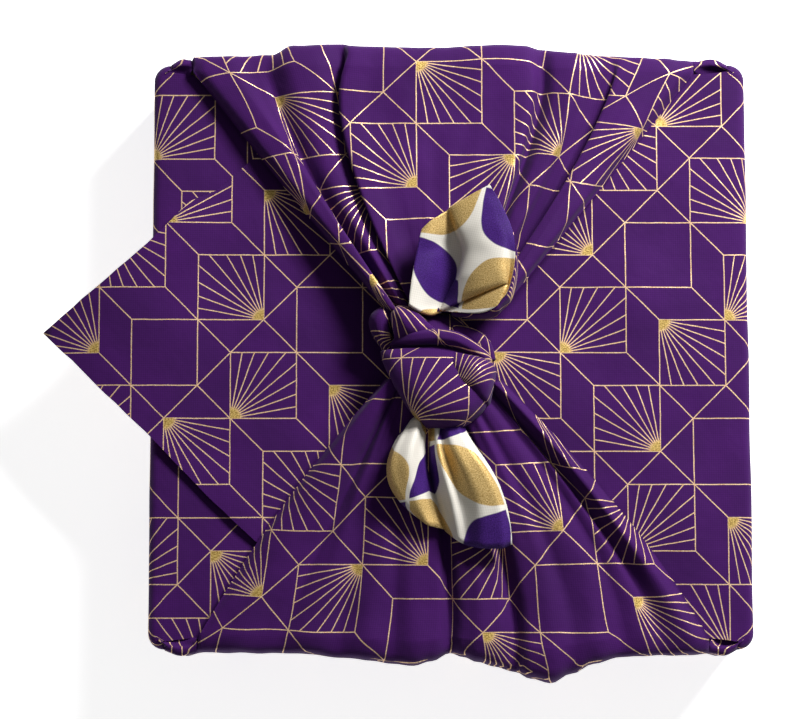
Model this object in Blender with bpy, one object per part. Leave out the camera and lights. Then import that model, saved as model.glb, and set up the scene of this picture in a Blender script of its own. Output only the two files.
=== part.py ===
"""A gift box wrapped in one square furoshiki cloth, tied on top with a knot.

The cloth lies diagonally under the box. Its west corner is folded over the box first, its east corner
over that, so far that the tip hangs past the west edge. The north and south corners come up over their
sides, are gathered along fold lines and are tied in the middle, with the two free ends cupped open.
Positions in the tables are millimetres, seen from above: X east, Y north and Z up from the surface that
the box stands on. The origin is the centre of the flat underside.
"""

import math

import bmesh
import bpy

MM = 0.001

# The rigid gift box inside, and the cloth round it
BOX_X, BOX_Y, BOX_Z = 270.0, 266.0, 44.0
BOX_EDGE_R = 2.5
CLOTH = 1.5
AIR = 0.4
LAYER = CLOTH + AIR

# Outer half sizes of the wrapped box, and the outer height of each layer of cloth on its top
HALF_X = BOX_X / 2 + LAYER
HALF_Y = BOX_Y / 2 + LAYER
BOX_TOP = LAYER + BOX_Z
TOP_WEST = BOX_TOP + LAYER
TOP_EAST = TOP_WEST + LAYER
TOP_EAR = TOP_EAST + LAYER

CORNER_R = 8.0
EDGE_R = 4.0
CORNER_STEPS = 3
SPLIT_Z = 42.0
WALL_ROWS = (14.0, 27.0)
SIDE_STEPS = 12
LIP_END = 127.0
LIP_OUT = 2.2
LIP_Z = TOP_EAR - 2.0
LIP_INSET, LIP_TURN = 0.8, 35.0

# Each row is one fold of the north ear, west to east: where it crosses the box edge and how far it
# bulges out there, a point halfway, and its end in the knot. Each h is the height above the flat ear.
NORTH_FOLDS = (
    # rim_x, out, rim_h, mid_x, mid_y, mid_h, end_x, end_y, end_h
    (-118.0, 2.5, 0.0, -73.0, 72.0, 0.0, -27.0, 16.0, 2.0),
    (-108.0, 3.0, 3.0, -66.0, 77.0, 6.5, -24.0, 16.0, 6.0),
    (-87.0, 3.5, 1.5, -57.5, 75.0, 1.5, -21.0, 16.0, 4.0),
    (-73.5, 8.0, 4.0, -51.0, 80.0, 4.5, -18.5, 16.0, 6.0),
    (-49.0, 8.5, 2.5, -45.5, 86.0, 0.8, -16.0, 16.0, 4.0),
    (-45.0, 8.0, 4.5, -42.0, 86.0, 5.5, -13.0, 16.0, 6.0),
    (-4.0, 7.0, 5.0, -9.0, 86.0, 5.0, -6.0, 16.0, 7.0),
    (32.0, 8.5, 5.0, 30.0, 92.0, 5.0, 1.0, 16.0, 6.5),
    (44.0, 6.0, 2.0, 38.0, 90.0, 0.8, 5.0, 16.0, 4.0),
    (55.0, 4.5, 3.5, 46.0, 88.0, 5.0, 9.0, 16.0, 5.5),
    (74.0, 3.0, 2.0, 56.0, 85.0, 0.8, 13.0, 16.0, 4.0),
    (98.0, 1.5, 4.0, 67.0, 83.0, 6.0, 17.0, 16.0, 6.0),
    (112.5, 0.5, 0.0, 74.0, 81.0, 0.0, 21.0, 16.0, 2.0),
)
SOUTH_FOLDS = (
    # rim_x, out, rim_h, mid_x, mid_y, mid_h, end_x, end_y, end_h
    (-113.0, 0.0, 0.0, -74.5, -69.0, 0.0, -29.0, -14.0, 2.0),
    (-97.0, 0.0, 2.5, -64.0, -72.0, 4.0, -25.0, -15.0, 6.0),
    (-67.0, 0.0, 1.5, -47.5, -78.0, 1.5, -21.0, -16.0, 4.0),
    (-20.0, 6.3, 5.0, -20.5, -84.0, 4.5, -15.0, -18.0, 6.5),
    (0.0, 0.3, 0.8, -1.0, -90.0, 0.8, -9.0, -20.0, 4.0),
    (12.0, 4.0, 4.0, 10.0, -91.0, 6.5, -5.0, -20.0, 6.0),
    (29.0, 9.0, 2.5, 23.0, -92.0, 1.0, -1.0, -20.0, 4.0),
    (42.5, 14.0, 5.5, 36.0, -90.0, 5.0, 4.0, -20.0, 6.5),
    (62.5, 6.0, 4.0, 50.0, -84.0, 4.0, 9.0, -19.0, 6.0),
    (77.0, 2.0, 1.0, 60.0, -80.0, 2.5, 13.0, -18.0, 5.0),
    (98.0, 1.5, 1.5, 68.0, -78.5, 1.5, 16.0, -17.0, 4.0),
    (109.0, 1.5, 3.5, 74.0, -77.0, 4.5, 19.0, -16.0, 6.0),
    (115.5, 0.5, 0.0, 78.0, -74.0, 0.0, 23.0, -15.0, 2.0),
)
EAR_STEPS = 2
EAR_ROWS = 11

# How an ear turns over the box's edge: the distance of its shoulder and of its landing on the top from
# the edge, the share of a fold's bulge that each keeps, and the share of a fold's height at the shoulder
SHOULDER_IN, SHOULDER_SHARE = 3.8, 0.85
LANDING_IN, LANDING_SHARE = 6.0, 0.4
SHOULDER_DROP, SHOULDER_RISE = 0.1, 0.6

# The flaps, from the edge that each hinges over to its tip: outline and outer height along X
EAST_FLAP = (
    # x, north_y, south_y, z
    (122.0, 129.5, -129.5, TOP_EAST),
    (104.0, 129.5, -129.5, TOP_EAST),
    (86.0, 129.5, -129.5, TOP_EAST),
    (68.0, 129.5, -129.5, TOP_EAST),
    (50.0, 129.5, -129.5, TOP_EAST),
    (15.0, 129.5, -129.5, TOP_EAST),
    (-40.0, 129.5, -129.5, TOP_EAST),
    (-66.0, 112.0, -106.0, TOP_EAST),
    (-89.0, 91.0, -84.5, TOP_EAST),
    (-107.0, 75.0, -68.0, TOP_EAST),
    (-119.0, 69.0, -56.0, TOP_EAST + 0.6),
    (-138.0, 50.0, -36.5, TOP_EAST + 1.6),
    (-156.0, 34.5, -19.5, TOP_EAST + 1.0),
    (-172.0, 21.0, -4.0, TOP_EAST - 1.4),
    (-186.0, 9.3, 9.3, TOP_EAST - 4.6),
)
WEST_FLAP = (
    # x, north_y, south_y, z
    (-122.0, 129.5, -129.5, TOP_WEST),
    (-60.0, 129.5, -129.5, TOP_WEST),
    (0.0, 129.5, -129.5, TOP_WEST),
    (45.0, 129.5, -129.5, TOP_WEST),
    (80.0, 95.0, -95.0, TOP_WEST),
    (118.0, 57.0, -57.0, TOP_WEST),
)

# Where the east flap stands a little off the layer below
SWELLS = (
    # x, y, radius, height
    (88.0, 18.0, 38.0, 1.3),
    (84.0, -32.0, 34.0, 1.1),
    (-74.0, 12.0, 34.0, 1.2),
)

# The knot, as bands of gathered cloth that pass round each other
KNOT_BANDS = {
    # x, y, z, half width seen from above, half height
    "knot_core": (
        (-9.0, 21.0, 60.0, 13.0, 8.0),
        (-9.0, 10.0, 62.0, 17.0, 10.5),
        (-8.0, -10.0, 62.0, 19.0, 10.5),
        (-7.0, -28.0, 60.0, 13.0, 8.0),
    ),
    "knot_front": (
        (-27.0, -6.0, 63.0, 7.0, 8.0),
        (-19.0, -13.0, 67.0, 14.0, 10.0),
        (-9.0, -20.0, 69.0, 17.0, 11.5),
        (2.0, -24.0, 69.0, 14.0, 11.0),
        (10.0, -27.0, 64.0, 8.0, 8.0),
    ),
    "knot_fold": (
        (-17.0, -3.0, 70.0, 6.0, 7.0),
        (-6.0, -7.0, 73.0, 9.0, 8.5),
        (7.0, -11.0, 73.0, 9.0, 8.5),
        (15.0, -15.0, 68.0, 7.5, 8.0),
        (18.0, -19.0, 62.0, 5.0, 6.5),
    ),
    "knot_west": (
        (-29.0, 4.0, 60.0, 5.0, 6.0),
        (-27.0, 9.0, 65.0, 7.5, 7.5),
        (-20.0, 12.0, 68.0, 8.5, 8.5),
        (-11.0, 10.0, 67.0, 7.5, 8.0),
        (-4.0, 6.0, 64.0, 6.0, 7.0),
    ),
    "knot_back": (
        (-18.0, 4.0, 69.0, 3.5, 5.0),
        (-6.0, 5.5, 71.5, 4.0, 6.0),
        (7.0, 3.5, 71.0, 4.5, 6.0),
        (15.0, -1.0, 68.0, 5.0, 6.0),
        (17.5, -7.0, 63.0, 4.5, 6.0),
    ),
}
BAND_RINGS = 3
BAND_SIDES = 12

# The two free ends of the cloth, each a cupped leaf. A row is a fold, from the west rim to the east one,
# with its root in the knot, two points on the way and its end at the cloth's edge.
NORTH_END = (
    # root x, y, z, first x, y, z, second x, y, z, rim x, y, z
    (-21.0, 15.0, 67.0, -19.1, 27.4, 76.0, -13.4, 50.3, 80.0, 5.3, 63.1, 80.0),
    (-15.0, 14.5, 64.0, -12.0, 25.2, 71.0, -4.8, 47.3, 74.0, 8.4, 62.7, 82.0),
    (-8.0, 14.0, 61.0, -2.9, 26.4, 64.0, 4.3, 44.9, 68.0, 11.6, 64.5, 80.0),
    (-0.5, 13.0, 59.0, 8.7, 28.1, 68.0, 15.6, 46.9, 77.0, 14.6, 66.1, 83.0),
    (8.0, 12.0, 60.0, 24.0, 24.7, 66.0, 26.2, 44.8, 78.0, 16.9, 67.7, 82.0),
    (1.0, 14.5, 69.0, 16.3, 17.3, 78.0, 27.6, 35.7, 84.0, 19.1, 69.5, 82.0),
)
SOUTH_END = (
    # root x, y, z, first x, y, z, second x, y, z, rim x, y, z
    (-20.0, -29.0, 66.0, -26.7, -49.6, 72.0, -27.1, -62.3, 70.0, -17.8, -73.5, 64.0),
    (-16.0, -29.0, 62.0, -20.9, -48.4, 68.0, -20.9, -62.1, 67.0, -13.8, -76.5, 62.0),
    (-10.5, -29.0, 59.0, -10.6, -47.6, 58.5, -11.5, -59.8, 59.0, -7.5, -79.9, 60.0),
    (-4.5, -29.0, 63.5, -4.0, -48.4, 68.0, -0.5, -63.9, 68.0, 1.7, -84.2, 65.0),
    (1.5, -29.0, 67.0, 4.7, -47.6, 75.0, 12.6, -65.1, 73.0, 14.5, -88.7, 67.0),
    (8.0, -30.0, 63.0, 10.6, -46.3, 70.0, 21.7, -64.4, 68.0, 26.2, -89.0, 63.0),
)
END_STEPS = 3
END_ROWS = 9


def lerp(a, b, t):
    return a + (b - a) * t


def ease(t):
    """Goes from 0 to 1 with level ends, so that a fold is round at its crest and in its trough."""
    return (1 - math.cos(math.pi * t)) / 2


def through(a, b, c, t):
    """The curve through a at 0, b at a half and c at 1."""
    return 2 * (t - 0.5) * (t - 1) * a + 4 * t * (1 - t) * b + 2 * t * (t - 0.5) * c


def along(row, t):
    """The smooth curve through the four places of a row, evenly spaced from 0 to 1."""
    places = [row[i:i + 3] for i in (0, 3, 6, 9)]
    u = 3 * t
    shares = (
        -(u - 1) * (u - 2) * (u - 3) / 6,
        u * (u - 2) * (u - 3) / 2,
        -u * (u - 1) * (u - 3) / 2,
        u * (u - 1) * (u - 2) / 6,
    )
    return [sum(w * p[axis] for w, p in zip(shares, places)) for axis in range(3)]


def finer(rows, steps):
    """Rows with others between them, on a smooth curve through every column."""
    made = []
    for i in range(len(rows) - 1):
        quad = [rows[max(i - 1, 0)], rows[i], rows[i + 1], rows[min(i + 2, len(rows) - 1)]]
        for k in range(steps):
            t = k / steps
            shares = (
                -t * (1 - t) ** 2 / 2,
                1 - 2.5 * t * t + 1.5 * t ** 3,
                t / 2 + 2 * t * t - 1.5 * t ** 3,
                -t * t * (1 - t) / 2,
            )
            made.append([sum(w * row[c] for w, row in zip(shares, quad)) for c in range(len(rows[0]))])
    return made + [list(rows[-1])]


def between(folds, steps):
    """Splits a table of folds into finer lines: pairs of neighbours, and the share of the second."""
    lines = [(folds[i], folds[i + 1], k / steps) for i in range(len(folds) - 1) for k in range(steps)]
    return lines + [(folds[-2], folds[-1], 1.0)]


class Sheet:
    """A sheet of cloth: every point has its outer place and its inner one, a layer's thickness away."""

    def __init__(self):
        self.outer = []
        self.inner = []
        self.faces = []

    def point(self, place, inward):
        """Adds a point, with the direction from the cloth's outer side to its inner one."""
        size = math.hypot(*inward)
        self.outer.append(tuple(place))
        self.inner.append(tuple(p + d * CLOTH / size for p, d in zip(place, inward)))
        return len(self.outer) - 1

    def strip(self, below, above):
        """Joins two rows of points that run east when seen from outside, with above further up."""
        for i in range(len(below) - 1):
            corners = (below[i], below[i + 1], above[i + 1], above[i])
            self.faces.append(tuple(dict.fromkeys(corners)))

    def solid(self, name):
        """The closed body between the two sides."""
        count = len(self.outer)
        mesh = bmesh.new()
        verts = [mesh.verts.new([c * MM for c in p]) for p in self.outer + self.inner]
        uses = {}
        for face in self.faces:
            mesh.faces.new([verts[i] for i in face])
            mesh.faces.new([verts[i + count] for i in reversed(face)])
            for a, b in zip(face, face[1:] + face[:1]):
                uses[(a, b)] = True
        for a, b in uses:
            if (b, a) not in uses:
                mesh.faces.new([verts[b], verts[a], verts[a + count], verts[b + count]])
        return finished(name, mesh)


def finished(name, mesh):
    """Turns a bmesh into an object whose faces point out."""
    bmesh.ops.recalc_face_normals(mesh, faces=mesh.faces)
    data = bpy.data.meshes.new(name)
    mesh.to_mesh(data)
    mesh.free()
    data.shade_smooth()
    thing = bpy.data.objects.new(name, data)
    bpy.context.scene.collection.objects.link(thing)
    return thing


def bulge(folds, x):
    """How far the folds of an ear stand out from the box's side at x, where they cross its edge."""
    for a, b in zip(folds, folds[1:]):
        if a[0] <= x <= b[0]:
            return lerp(a[1], b[1], ease((x - a[0]) / (b[0] - a[0])))
    near = folds[0][0] if x < 0 else folds[-1][0]
    past = (abs(x) - abs(near)) / (LIP_END - abs(near))
    return max(0.0, LIP_OUT * math.sin(math.pi * past))


def ear_stations(folds):
    """X of each of an ear's lines where they cross the box's edge."""
    return [lerp(a[0], b[0], t) for a, b, t in between(folds, EAR_STEPS)]


def stations():
    """Points round the wrapped box, anticlockwise from above: panel, centre of its rounding, normal."""
    flat_x, flat_y = HALF_X - CORNER_R, HALF_Y - CORNER_R
    side_y = [lerp(-flat_y, flat_y, i / SIDE_STEPS) for i in range(SIDE_STEPS + 1)]
    rims = {}
    for side, folds in (("north", NORTH_FOLDS), ("south", SOUTH_FOLDS)):
        ear = ear_stations(folds)
        west_lip, east_lip = (ear[0] - LIP_END) / 2, (ear[-1] + LIP_END) / 2
        rims[side] = [-LIP_END, west_lip, *ear, east_lip, LIP_END]

    def corner(first, x, y, panel):
        angles = [math.radians(first + 90 * i / CORNER_STEPS) for i in range(CORNER_STEPS + 1)]
        return [(panel, x, y, math.cos(a), math.sin(a)) for a in angles]

    ring = [("east", flat_x, y, 1.0, 0.0) for y in side_y[1:-1]]
    ring += corner(0, flat_x, flat_y, "east")
    ring += [("north", x, flat_y, 0.0, 1.0) for x in reversed(rims["north"])]
    ring += corner(90, -flat_x, flat_y, "west")
    ring += [("west", -flat_x, y, -1.0, 0.0) for y in reversed(side_y[1:-1])]
    ring += corner(180, -flat_x, -flat_y, "west")
    ring += [("south", x, -flat_y, 0.0, -1.0) for x in rims["south"]]
    ring += corner(270, flat_x, -flat_y, "east")
    return ring


def wall_point(sheet, station, inset, z, turn):
    """A point of the box's side, where turn is 0 on the side, -90 underneath and 90 on top."""
    panel, x, y, nx, ny = station
    out = CORNER_R - inset
    if panel in ("north", "south"):
        folds = NORTH_FOLDS if panel == "north" else SOUTH_FOLDS
        out += bulge(folds, x) * min(1.0, (z / TOP_WEST) ** 1.3)
    level, rise = math.cos(math.radians(turn)), math.sin(math.radians(turn))
    return sheet.point((x + nx * out, y + ny * out, z), (-nx * level, -ny * level, -rise))


def rounding(top, steps=3):
    """Rows over an upper edge of the box: inset, height and turn, up to level at top."""
    rows = []
    for i in range(steps + 1):
        angle = math.radians(90 * i / steps)
        rows.append((EDGE_R * (1 - math.cos(angle)), top - EDGE_R * (1 - math.sin(angle)), 90 * i / steps))
    return rows


def tray(sheet):
    """The cloth under the box and up its sides. Returns its top ring: each station and its point."""
    ring = stations()
    centre = sheet.point((0, 0, 0), (0, 0, 1))
    rows = [(EDGE_R * (1 - math.sin(math.radians(t))), EDGE_R * (1 - math.cos(math.radians(t))), t - 90)
            for t in (0, 30, 60, 90)]
    rows += [(0.0, z, 0) for z in (*WALL_ROWS, SPLIT_Z)]
    below = None
    for inset, z, turn in rows:
        row = [wall_point(sheet, s, inset, z, turn) for s in ring]
        row.append(row[0])
        if below is None:
            sheet.faces += [(centre, b, a) for a, b in zip(row, row[1:])]
        else:
            sheet.strip(below, row)
        below = row
    return list(zip(ring, below))


def panel_of(top_ring, name):
    """A panel's stations and points in the order of the ring, also where the panel crosses its start."""
    chosen = [s[0][0] == name for s in top_ring]
    start = next(i for i in range(len(chosen)) if chosen[i] and not chosen[i - 1])
    turned = top_ring[start:] + top_ring[:start]
    return [item for item in turned if item[0][0] == name]


def swell(x, y):
    """How far the east flap stands off the layer below."""
    high = 0.0
    for cx, cy, radius, height in SWELLS:
        away = min(1.0, math.hypot(x - cx, y - cy) / radius)
        high += height * ease(1 - away)
    return high


def flap(sheet, top_ring, name, outline, top):
    """The corner of the cloth that comes over an east or west edge and lies on the top."""
    column = panel_of(top_ring, name)
    below = [point for _, point in column]
    for inset, z, turn in rounding(top):
        row = [wall_point(sheet, s, inset, z, turn) for s, _ in column]
        sheet.strip(below, row)
        below = row
    reach = HALF_Y - EDGE_R
    for x, north_y, south_y, z in outline:
        row = []
        for (_, _, y, _, ny), _ in column:
            share = (y + ny * (CORNER_R - EDGE_R) + reach) / (2 * reach)
            y = lerp(south_y, north_y, share)
            if row and north_y == south_y:
                row.append(row[0])
            else:
                row.append(sheet.point((x, y, z + (swell(x, y) if name == "east" else 0.0)), (0, 0, -1)))
        sheet.strip(below, row)
        below = row


def ear(sheet, top_ring, name, folds):
    """The gathered corner that comes over the north or south side and runs into the knot."""
    out = 1 if name == "north" else -1
    column = panel_of(top_ring, name)
    lines = between(folds, EAR_STEPS)
    if out > 0:
        lines.reverse()
    below = [point for _, point in column]
    row = [wall_point(sheet, s, 0.0, TOP_WEST - EDGE_R, 0) for s, _ in column]
    sheet.strip(below, row)
    below = row
    row = [wall_point(sheet, s, LIP_INSET, LIP_Z, LIP_TURN) for s, _ in column]
    sheet.strip(below, row)
    below = row[2:-2]
    for j in range(-1, EAR_ROWS + 1):
        t = max(j, 0) / EAR_ROWS
        row = []
        for a, b, k in lines:
            stand, rim_h = lerp(a[1], b[1], ease(k)), lerp(a[2], b[2], ease(k))
            rim_y = out * (HALF_Y - LANDING_IN + LANDING_SHARE * stand)
            x = through(lerp(a[0], b[0], k), lerp(a[3], b[3], k), lerp(a[6], b[6], k), t)
            y = through(rim_y, lerp(a[4], b[4], k), lerp(a[7], b[7], k), t)
            h = through(rim_h, lerp(a[5], b[5], ease(k)), lerp(a[8], b[8], ease(k)), t)
            if j < 0:
                y = out * (HALF_Y - SHOULDER_IN + SHOULDER_SHARE * stand)
                z = TOP_EAR - SHOULDER_DROP + SHOULDER_RISE * rim_h
                row.append(sheet.point((x, y, z), (0, -out * 0.5, -1)))
            else:
                row.append(sheet.point((x, y, TOP_EAR + max(0.0, h)), (0, 0, -1)))
        sheet.strip(below, row)
        below = row


def end_leaf(name, folds):
    """One free end of the cloth, cupped open with its reverse side up."""
    mesh = bmesh.new()
    rows = []
    for j in range(END_ROWS + 1):
        t = j / END_ROWS
        row = []
        for a, b, k in between(folds, END_STEPS):
            from_west, from_east = along(a, t), along(b, t)
            place = [lerp(w, e, k) for w, e in zip(from_west, from_east)]
            place[2] = lerp(from_west[2], from_east[2], ease(k))
            row.append(mesh.verts.new([c * MM for c in place]))
        rows.append(row)
    for low, high in zip(rows, rows[1:]):
        for i in range(len(low) - 1):
            mesh.faces.new([low[i], low[i + 1], high[i + 1], high[i]])
    leaf = finished(name, mesh)
    thick = leaf.modifiers.new("cloth", "SOLIDIFY")
    thick.thickness = CLOTH * MM
    thick.offset = 0.0
    thick.use_even_offset = True
    return leaf


def knot_band(name, sections):
    """A band of gathered cloth with rounded ends, swept through its sections."""
    sections = finer(sections, BAND_RINGS)
    mesh = bmesh.new()
    first, last = sections[0], sections[-1]
    rings = []
    for i, (x, y, z, wide, high) in enumerate(sections):
        ahead, behind = sections[min(i + 1, len(sections) - 1)], sections[max(i - 1, 0)]
        run = math.hypot(ahead[0] - behind[0], ahead[1] - behind[1])
        across = (-(ahead[1] - behind[1]) / run, (ahead[0] - behind[0]) / run)
        ring = []
        for k in range(BAND_SIDES):
            angle = 2 * math.pi * k / BAND_SIDES
            side, up = wide * math.cos(angle), high * math.sin(angle)
            place = (x + across[0] * side, y + across[1] * side, z + up)
            ring.append(mesh.verts.new([c * MM for c in place]))
        rings.append(ring)
    for low, high_ring in zip(rings, rings[1:]):
        for k in range(BAND_SIDES):
            n = (k + 1) % BAND_SIDES
            mesh.faces.new([low[k], low[n], high_ring[n], high_ring[k]])
    for ring, here, inner in ((rings[0], first, sections[1]), (rings[-1], last, sections[-2])):
        run = math.hypot(here[0] - inner[0], here[1] - inner[1])
        push = 0.45 * min(here[3], here[4]) / run
        tip = (here[0] + (here[0] - inner[0]) * push, here[1] + (here[1] - inner[1]) * push, here[2])
        tip_vert = mesh.verts.new([c * MM for c in tip])
        for k in range(BAND_SIDES):
            mesh.faces.new([ring[k], ring[(k + 1) % BAND_SIDES], tip_vert])
    return finished(name, mesh)


def material(name, colour, roughness):
    """A plain finish with no metal in it."""
    made = bpy.data.materials.new(name)
    made.use_nodes = True
    shader = made.node_tree.nodes["Principled BSDF"]
    shader.inputs["Base Color"].default_value = (*colour, 1.0)
    shader.inputs["Roughness"].default_value = roughness
    shader.inputs["Metallic"].default_value = 0.0
    made.diffuse_color = (*colour, 1.0)
    return made


def gift_box():
    """The plain rigid box that gives the wrap its square edges."""
    mesh = bmesh.new()
    radius = CORNER_R - LAYER
    ease_in = BOX_EDGE_R * (1 - math.sqrt(0.5))
    below = None
    for inset, up in ((BOX_EDGE_R, 0), (ease_in, ease_in), (0, BOX_EDGE_R)):
        ring = []
        for first, sx, sy in ((0, 1, 1), (90, -1, 1), (180, -1, -1), (270, 1, -1)):
            for i in range(CORNER_STEPS + 1):
                angle = math.radians(first + 90 * i / CORNER_STEPS)
                x = sx * (BOX_X / 2 - radius) + math.cos(angle) * (radius - inset)
                y = sy * (BOX_Y / 2 - radius) + math.sin(angle) * (radius - inset)
                ring.append((x, y, up))
        low = [mesh.verts.new((x * MM, y * MM, (LAYER + z) * MM)) for x, y, z in ring]
        high = [mesh.verts.new((x * MM, y * MM, (LAYER + BOX_Z - z) * MM)) for x, y, z in ring]
        count = len(ring)
        if below is None:
            mesh.faces.new(low)
            mesh.faces.new(high)
        else:
            for old, new in zip(below, (low, high)):
                for k in range(count):
                    mesh.faces.new([old[k], old[(k + 1) % count], new[(k + 1) % count], new[k]])
        below = (low, high)
    for k in range(count):
        n = (k + 1) % count
        mesh.faces.new([below[0][k], below[0][n], below[1][n], below[1][k]])
    box = finished("gift_box", mesh)
    box.data.set_sharp_from_angle(angle=math.radians(30))
    box.data.materials.append(material("grey_board", (0.42, 0.33, 0.23), 0.8))


def furoshiki_cloth():
    """The one square of cloth: tray, two flaps, two ears, the knot and its two free ends."""
    sheet = Sheet()
    top_ring = tray(sheet)
    flap(sheet, top_ring, "west", WEST_FLAP, TOP_WEST)
    flap(sheet, top_ring, "east", EAST_FLAP, TOP_EAST)
    ear(sheet, top_ring, "north", NORTH_FOLDS)
    ear(sheet, top_ring, "south", SOUTH_FOLDS)
    cloth = sheet.solid("furoshiki_cloth")
    cloth.data.materials.append(material("printed_cotton", (0.045, 0.012, 0.13), 0.75))
    pieces = [knot_band(name, sections) for name, sections in KNOT_BANDS.items()]
    pieces += [end_leaf("north_end", NORTH_END), end_leaf("south_end", SOUTH_END)]
    for piece in pieces:
        piece.hide_render = True
        piece.display_type = "WIRE"
        join = cloth.modifiers.new("join_" + piece.name, "BOOLEAN")
        join.operation = "UNION"
        join.object = piece
        join.solver = "EXACT"
        join.use_self = True


def main():
    for thing in list(bpy.data.objects):
        bpy.data.objects.remove(thing)
    gift_box()
    furoshiki_cloth()


main()
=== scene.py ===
# %% [markdown]
# # A gift box wrapped in a furoshiki
# A furoshiki is one square of cotton, printed on its face and often on its back too. Here it is laid
# diagonally under a flat square box. Two corners are folded over the top, and the other two are gathered
# and tied. Nothing is cut or sewn to the box, so all that shows is one sheet: its folds, its print and the
# way its gathers run into the knot. This notebook makes that sheet in mesh code, because then each fold has
# its own row of numbers that can be read and changed.

# %% Load the frame and keep its size
import math

import bmesh
import bpy
import numpy
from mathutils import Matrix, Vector, noise


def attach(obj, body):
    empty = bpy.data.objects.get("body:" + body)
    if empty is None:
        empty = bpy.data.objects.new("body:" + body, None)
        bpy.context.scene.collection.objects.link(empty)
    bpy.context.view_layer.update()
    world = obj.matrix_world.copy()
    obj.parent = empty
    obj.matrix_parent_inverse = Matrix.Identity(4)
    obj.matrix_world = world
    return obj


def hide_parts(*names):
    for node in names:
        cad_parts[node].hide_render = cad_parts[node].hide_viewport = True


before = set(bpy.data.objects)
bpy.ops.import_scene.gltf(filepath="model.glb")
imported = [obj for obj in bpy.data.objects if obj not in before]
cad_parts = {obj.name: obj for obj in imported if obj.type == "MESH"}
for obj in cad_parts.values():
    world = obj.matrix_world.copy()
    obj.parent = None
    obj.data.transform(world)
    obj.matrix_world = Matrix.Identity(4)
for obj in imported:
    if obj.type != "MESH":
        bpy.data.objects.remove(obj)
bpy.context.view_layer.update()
MM = 0.001

# %% [markdown]
# ## Sizes
# The box is 270 mm wide, and the cloth is 700 mm square, a common size for gifts. The layers of cloth on the
# top lie a little apart, as in the solid model, so that no two surfaces fight for the same place. Real cotton
# of this kind is about 0.35 mm thick. It is drawn at 0.5 mm, so that a folded edge still catches light.

# %% Sizes of the wrap, in millimetres
HALF_X, HALF_Y = 136.9, 134.9
TOP_WEST, TOP_EAST, TOP_EAR = 47.8, 49.7, 51.6
THICK = 0.5
CORNER_R, EDGE_R = 8.0, 4.0
SPLIT_Z = 42.0
LIP_END, LIP_OUT = 128.5, 2.2
print("wrapped box:", 2 * HALF_X, "x", 2 * HALF_Y, "x", TOP_EAR, "mm")

# %% [markdown]
# ## Folds as tables
# A gathered cloth looks tangled, but it can be described by its fold lines. Each one starts at the box's
# edge, passes a point halfway, and ends in the knot, with a height at each. Between two fold lines the cloth
# swings smoothly from one height to the next. Where a pleat laps over its neighbour, the last column moves its
# line sideways over it, and the sheet doubles back underneath. The second column says how far the cloth bulges
# out from the box's side below the fold.

# %% Fold lines of the north ear and the south ear
NORTH_FOLDS = (
    # rim_x, out, rim_h, mid_x, mid_y, mid_h, end_x, end_y, end_h, lap
    (-118.0, 2.5, 0.3, -73.0, 72.0, 1.2, -28.0, 16.0, 9.0, 0.0),
    (-112.0, 3.0, 3.2, -69.5, 74.0, 7.5, -26.0, 16.0, 13.5, 0.0),
    (-102.0, 3.0, 3.6, -64.0, 77.0, 8.4, -24.5, 16.0, 14.0, 0.0),
    (-92.0, 3.2, 1.4, -62.0, 76.0, 4.4, -23.5, 16.0, 9.0, 0.8),
    (-83.0, 3.5, 0.6, -60.5, 75.0, 0.8, -22.5, 16.0, 6.0, -1.0),
    (-72.0, 8.0, 6.0, -53.0, 80.0, 6.2, -20.0, 16.0, 12.0, 0.0),
    (-62.0, 8.4, 6.2, -49.0, 82.0, 4.6, -18.5, 16.0, 10.0, 0.0),
    (-49.0, 8.5, 0.4, -43.5, 86.0, 0.6, -16.0, 16.0, 5.5, 1.6),
    (-46.0, 8.0, 6.4, -43.0, 86.0, 7.4, -14.5, 16.0, 12.0, -3.6),
    (-34.0, 7.5, 5.0, -34.0, 86.0, 5.6, -11.0, 16.0, 10.5, 0.0),
    (-4.0, 7.0, 5.4, -9.0, 86.0, 5.0, -6.0, 16.0, 9.5, 0.0),
    (24.0, 8.5, 6.2, 20.0, 91.0, 5.8, 0.0, 16.0, 11.5, 0.0),
    (34.0, 8.0, 5.6, 30.0, 92.0, 6.6, 3.0, 16.0, 11.5, 2.6),
    (43.5, 6.0, 0.4, 36.0, 90.0, 0.4, 5.0, 16.0, 4.5, -1.4),
    (49.0, 5.2, 4.4, 39.6, 88.0, 6.0, 6.2, 16.0, 9.8, 0.0),
    (56.5, 4.5, 5.4, 44.4, 86.0, 7.2, 8.0, 16.0, 11.5, 0.0),
    (64.0, 3.8, 2.8, 48.6, 85.0, 2.6, 9.6, 16.0, 7.0, 0.0),
    (70.0, 3.2, 0.9, 53.0, 84.4, 0.4, 11.4, 16.0, 4.0, 0.0),
    (75.0, 2.8, 1.0, 56.4, 84.0, 0.8, 12.8, 16.0, 4.6, 1.2),
    (79.0, 2.6, 3.4, 58.6, 84.0, 7.6, 14.0, 16.0, 12.2, -2.6),
    (87.0, 2.4, 3.8, 61.6, 84.0, 8.4, 15.8, 16.0, 13.2, 0.0),
    (99.0, 1.8, 5.0, 66.0, 83.5, 8.2, 18.0, 16.0, 13.5, 0.0),
    (107.0, 1.2, 3.2, 70.5, 82.0, 6.8, 20.0, 16.0, 13.0, 0.0),
    (112.5, 0.5, 0.3, 74.0, 81.0, 1.2, 22.0, 16.0, 8.0, 0.0),
)
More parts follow.
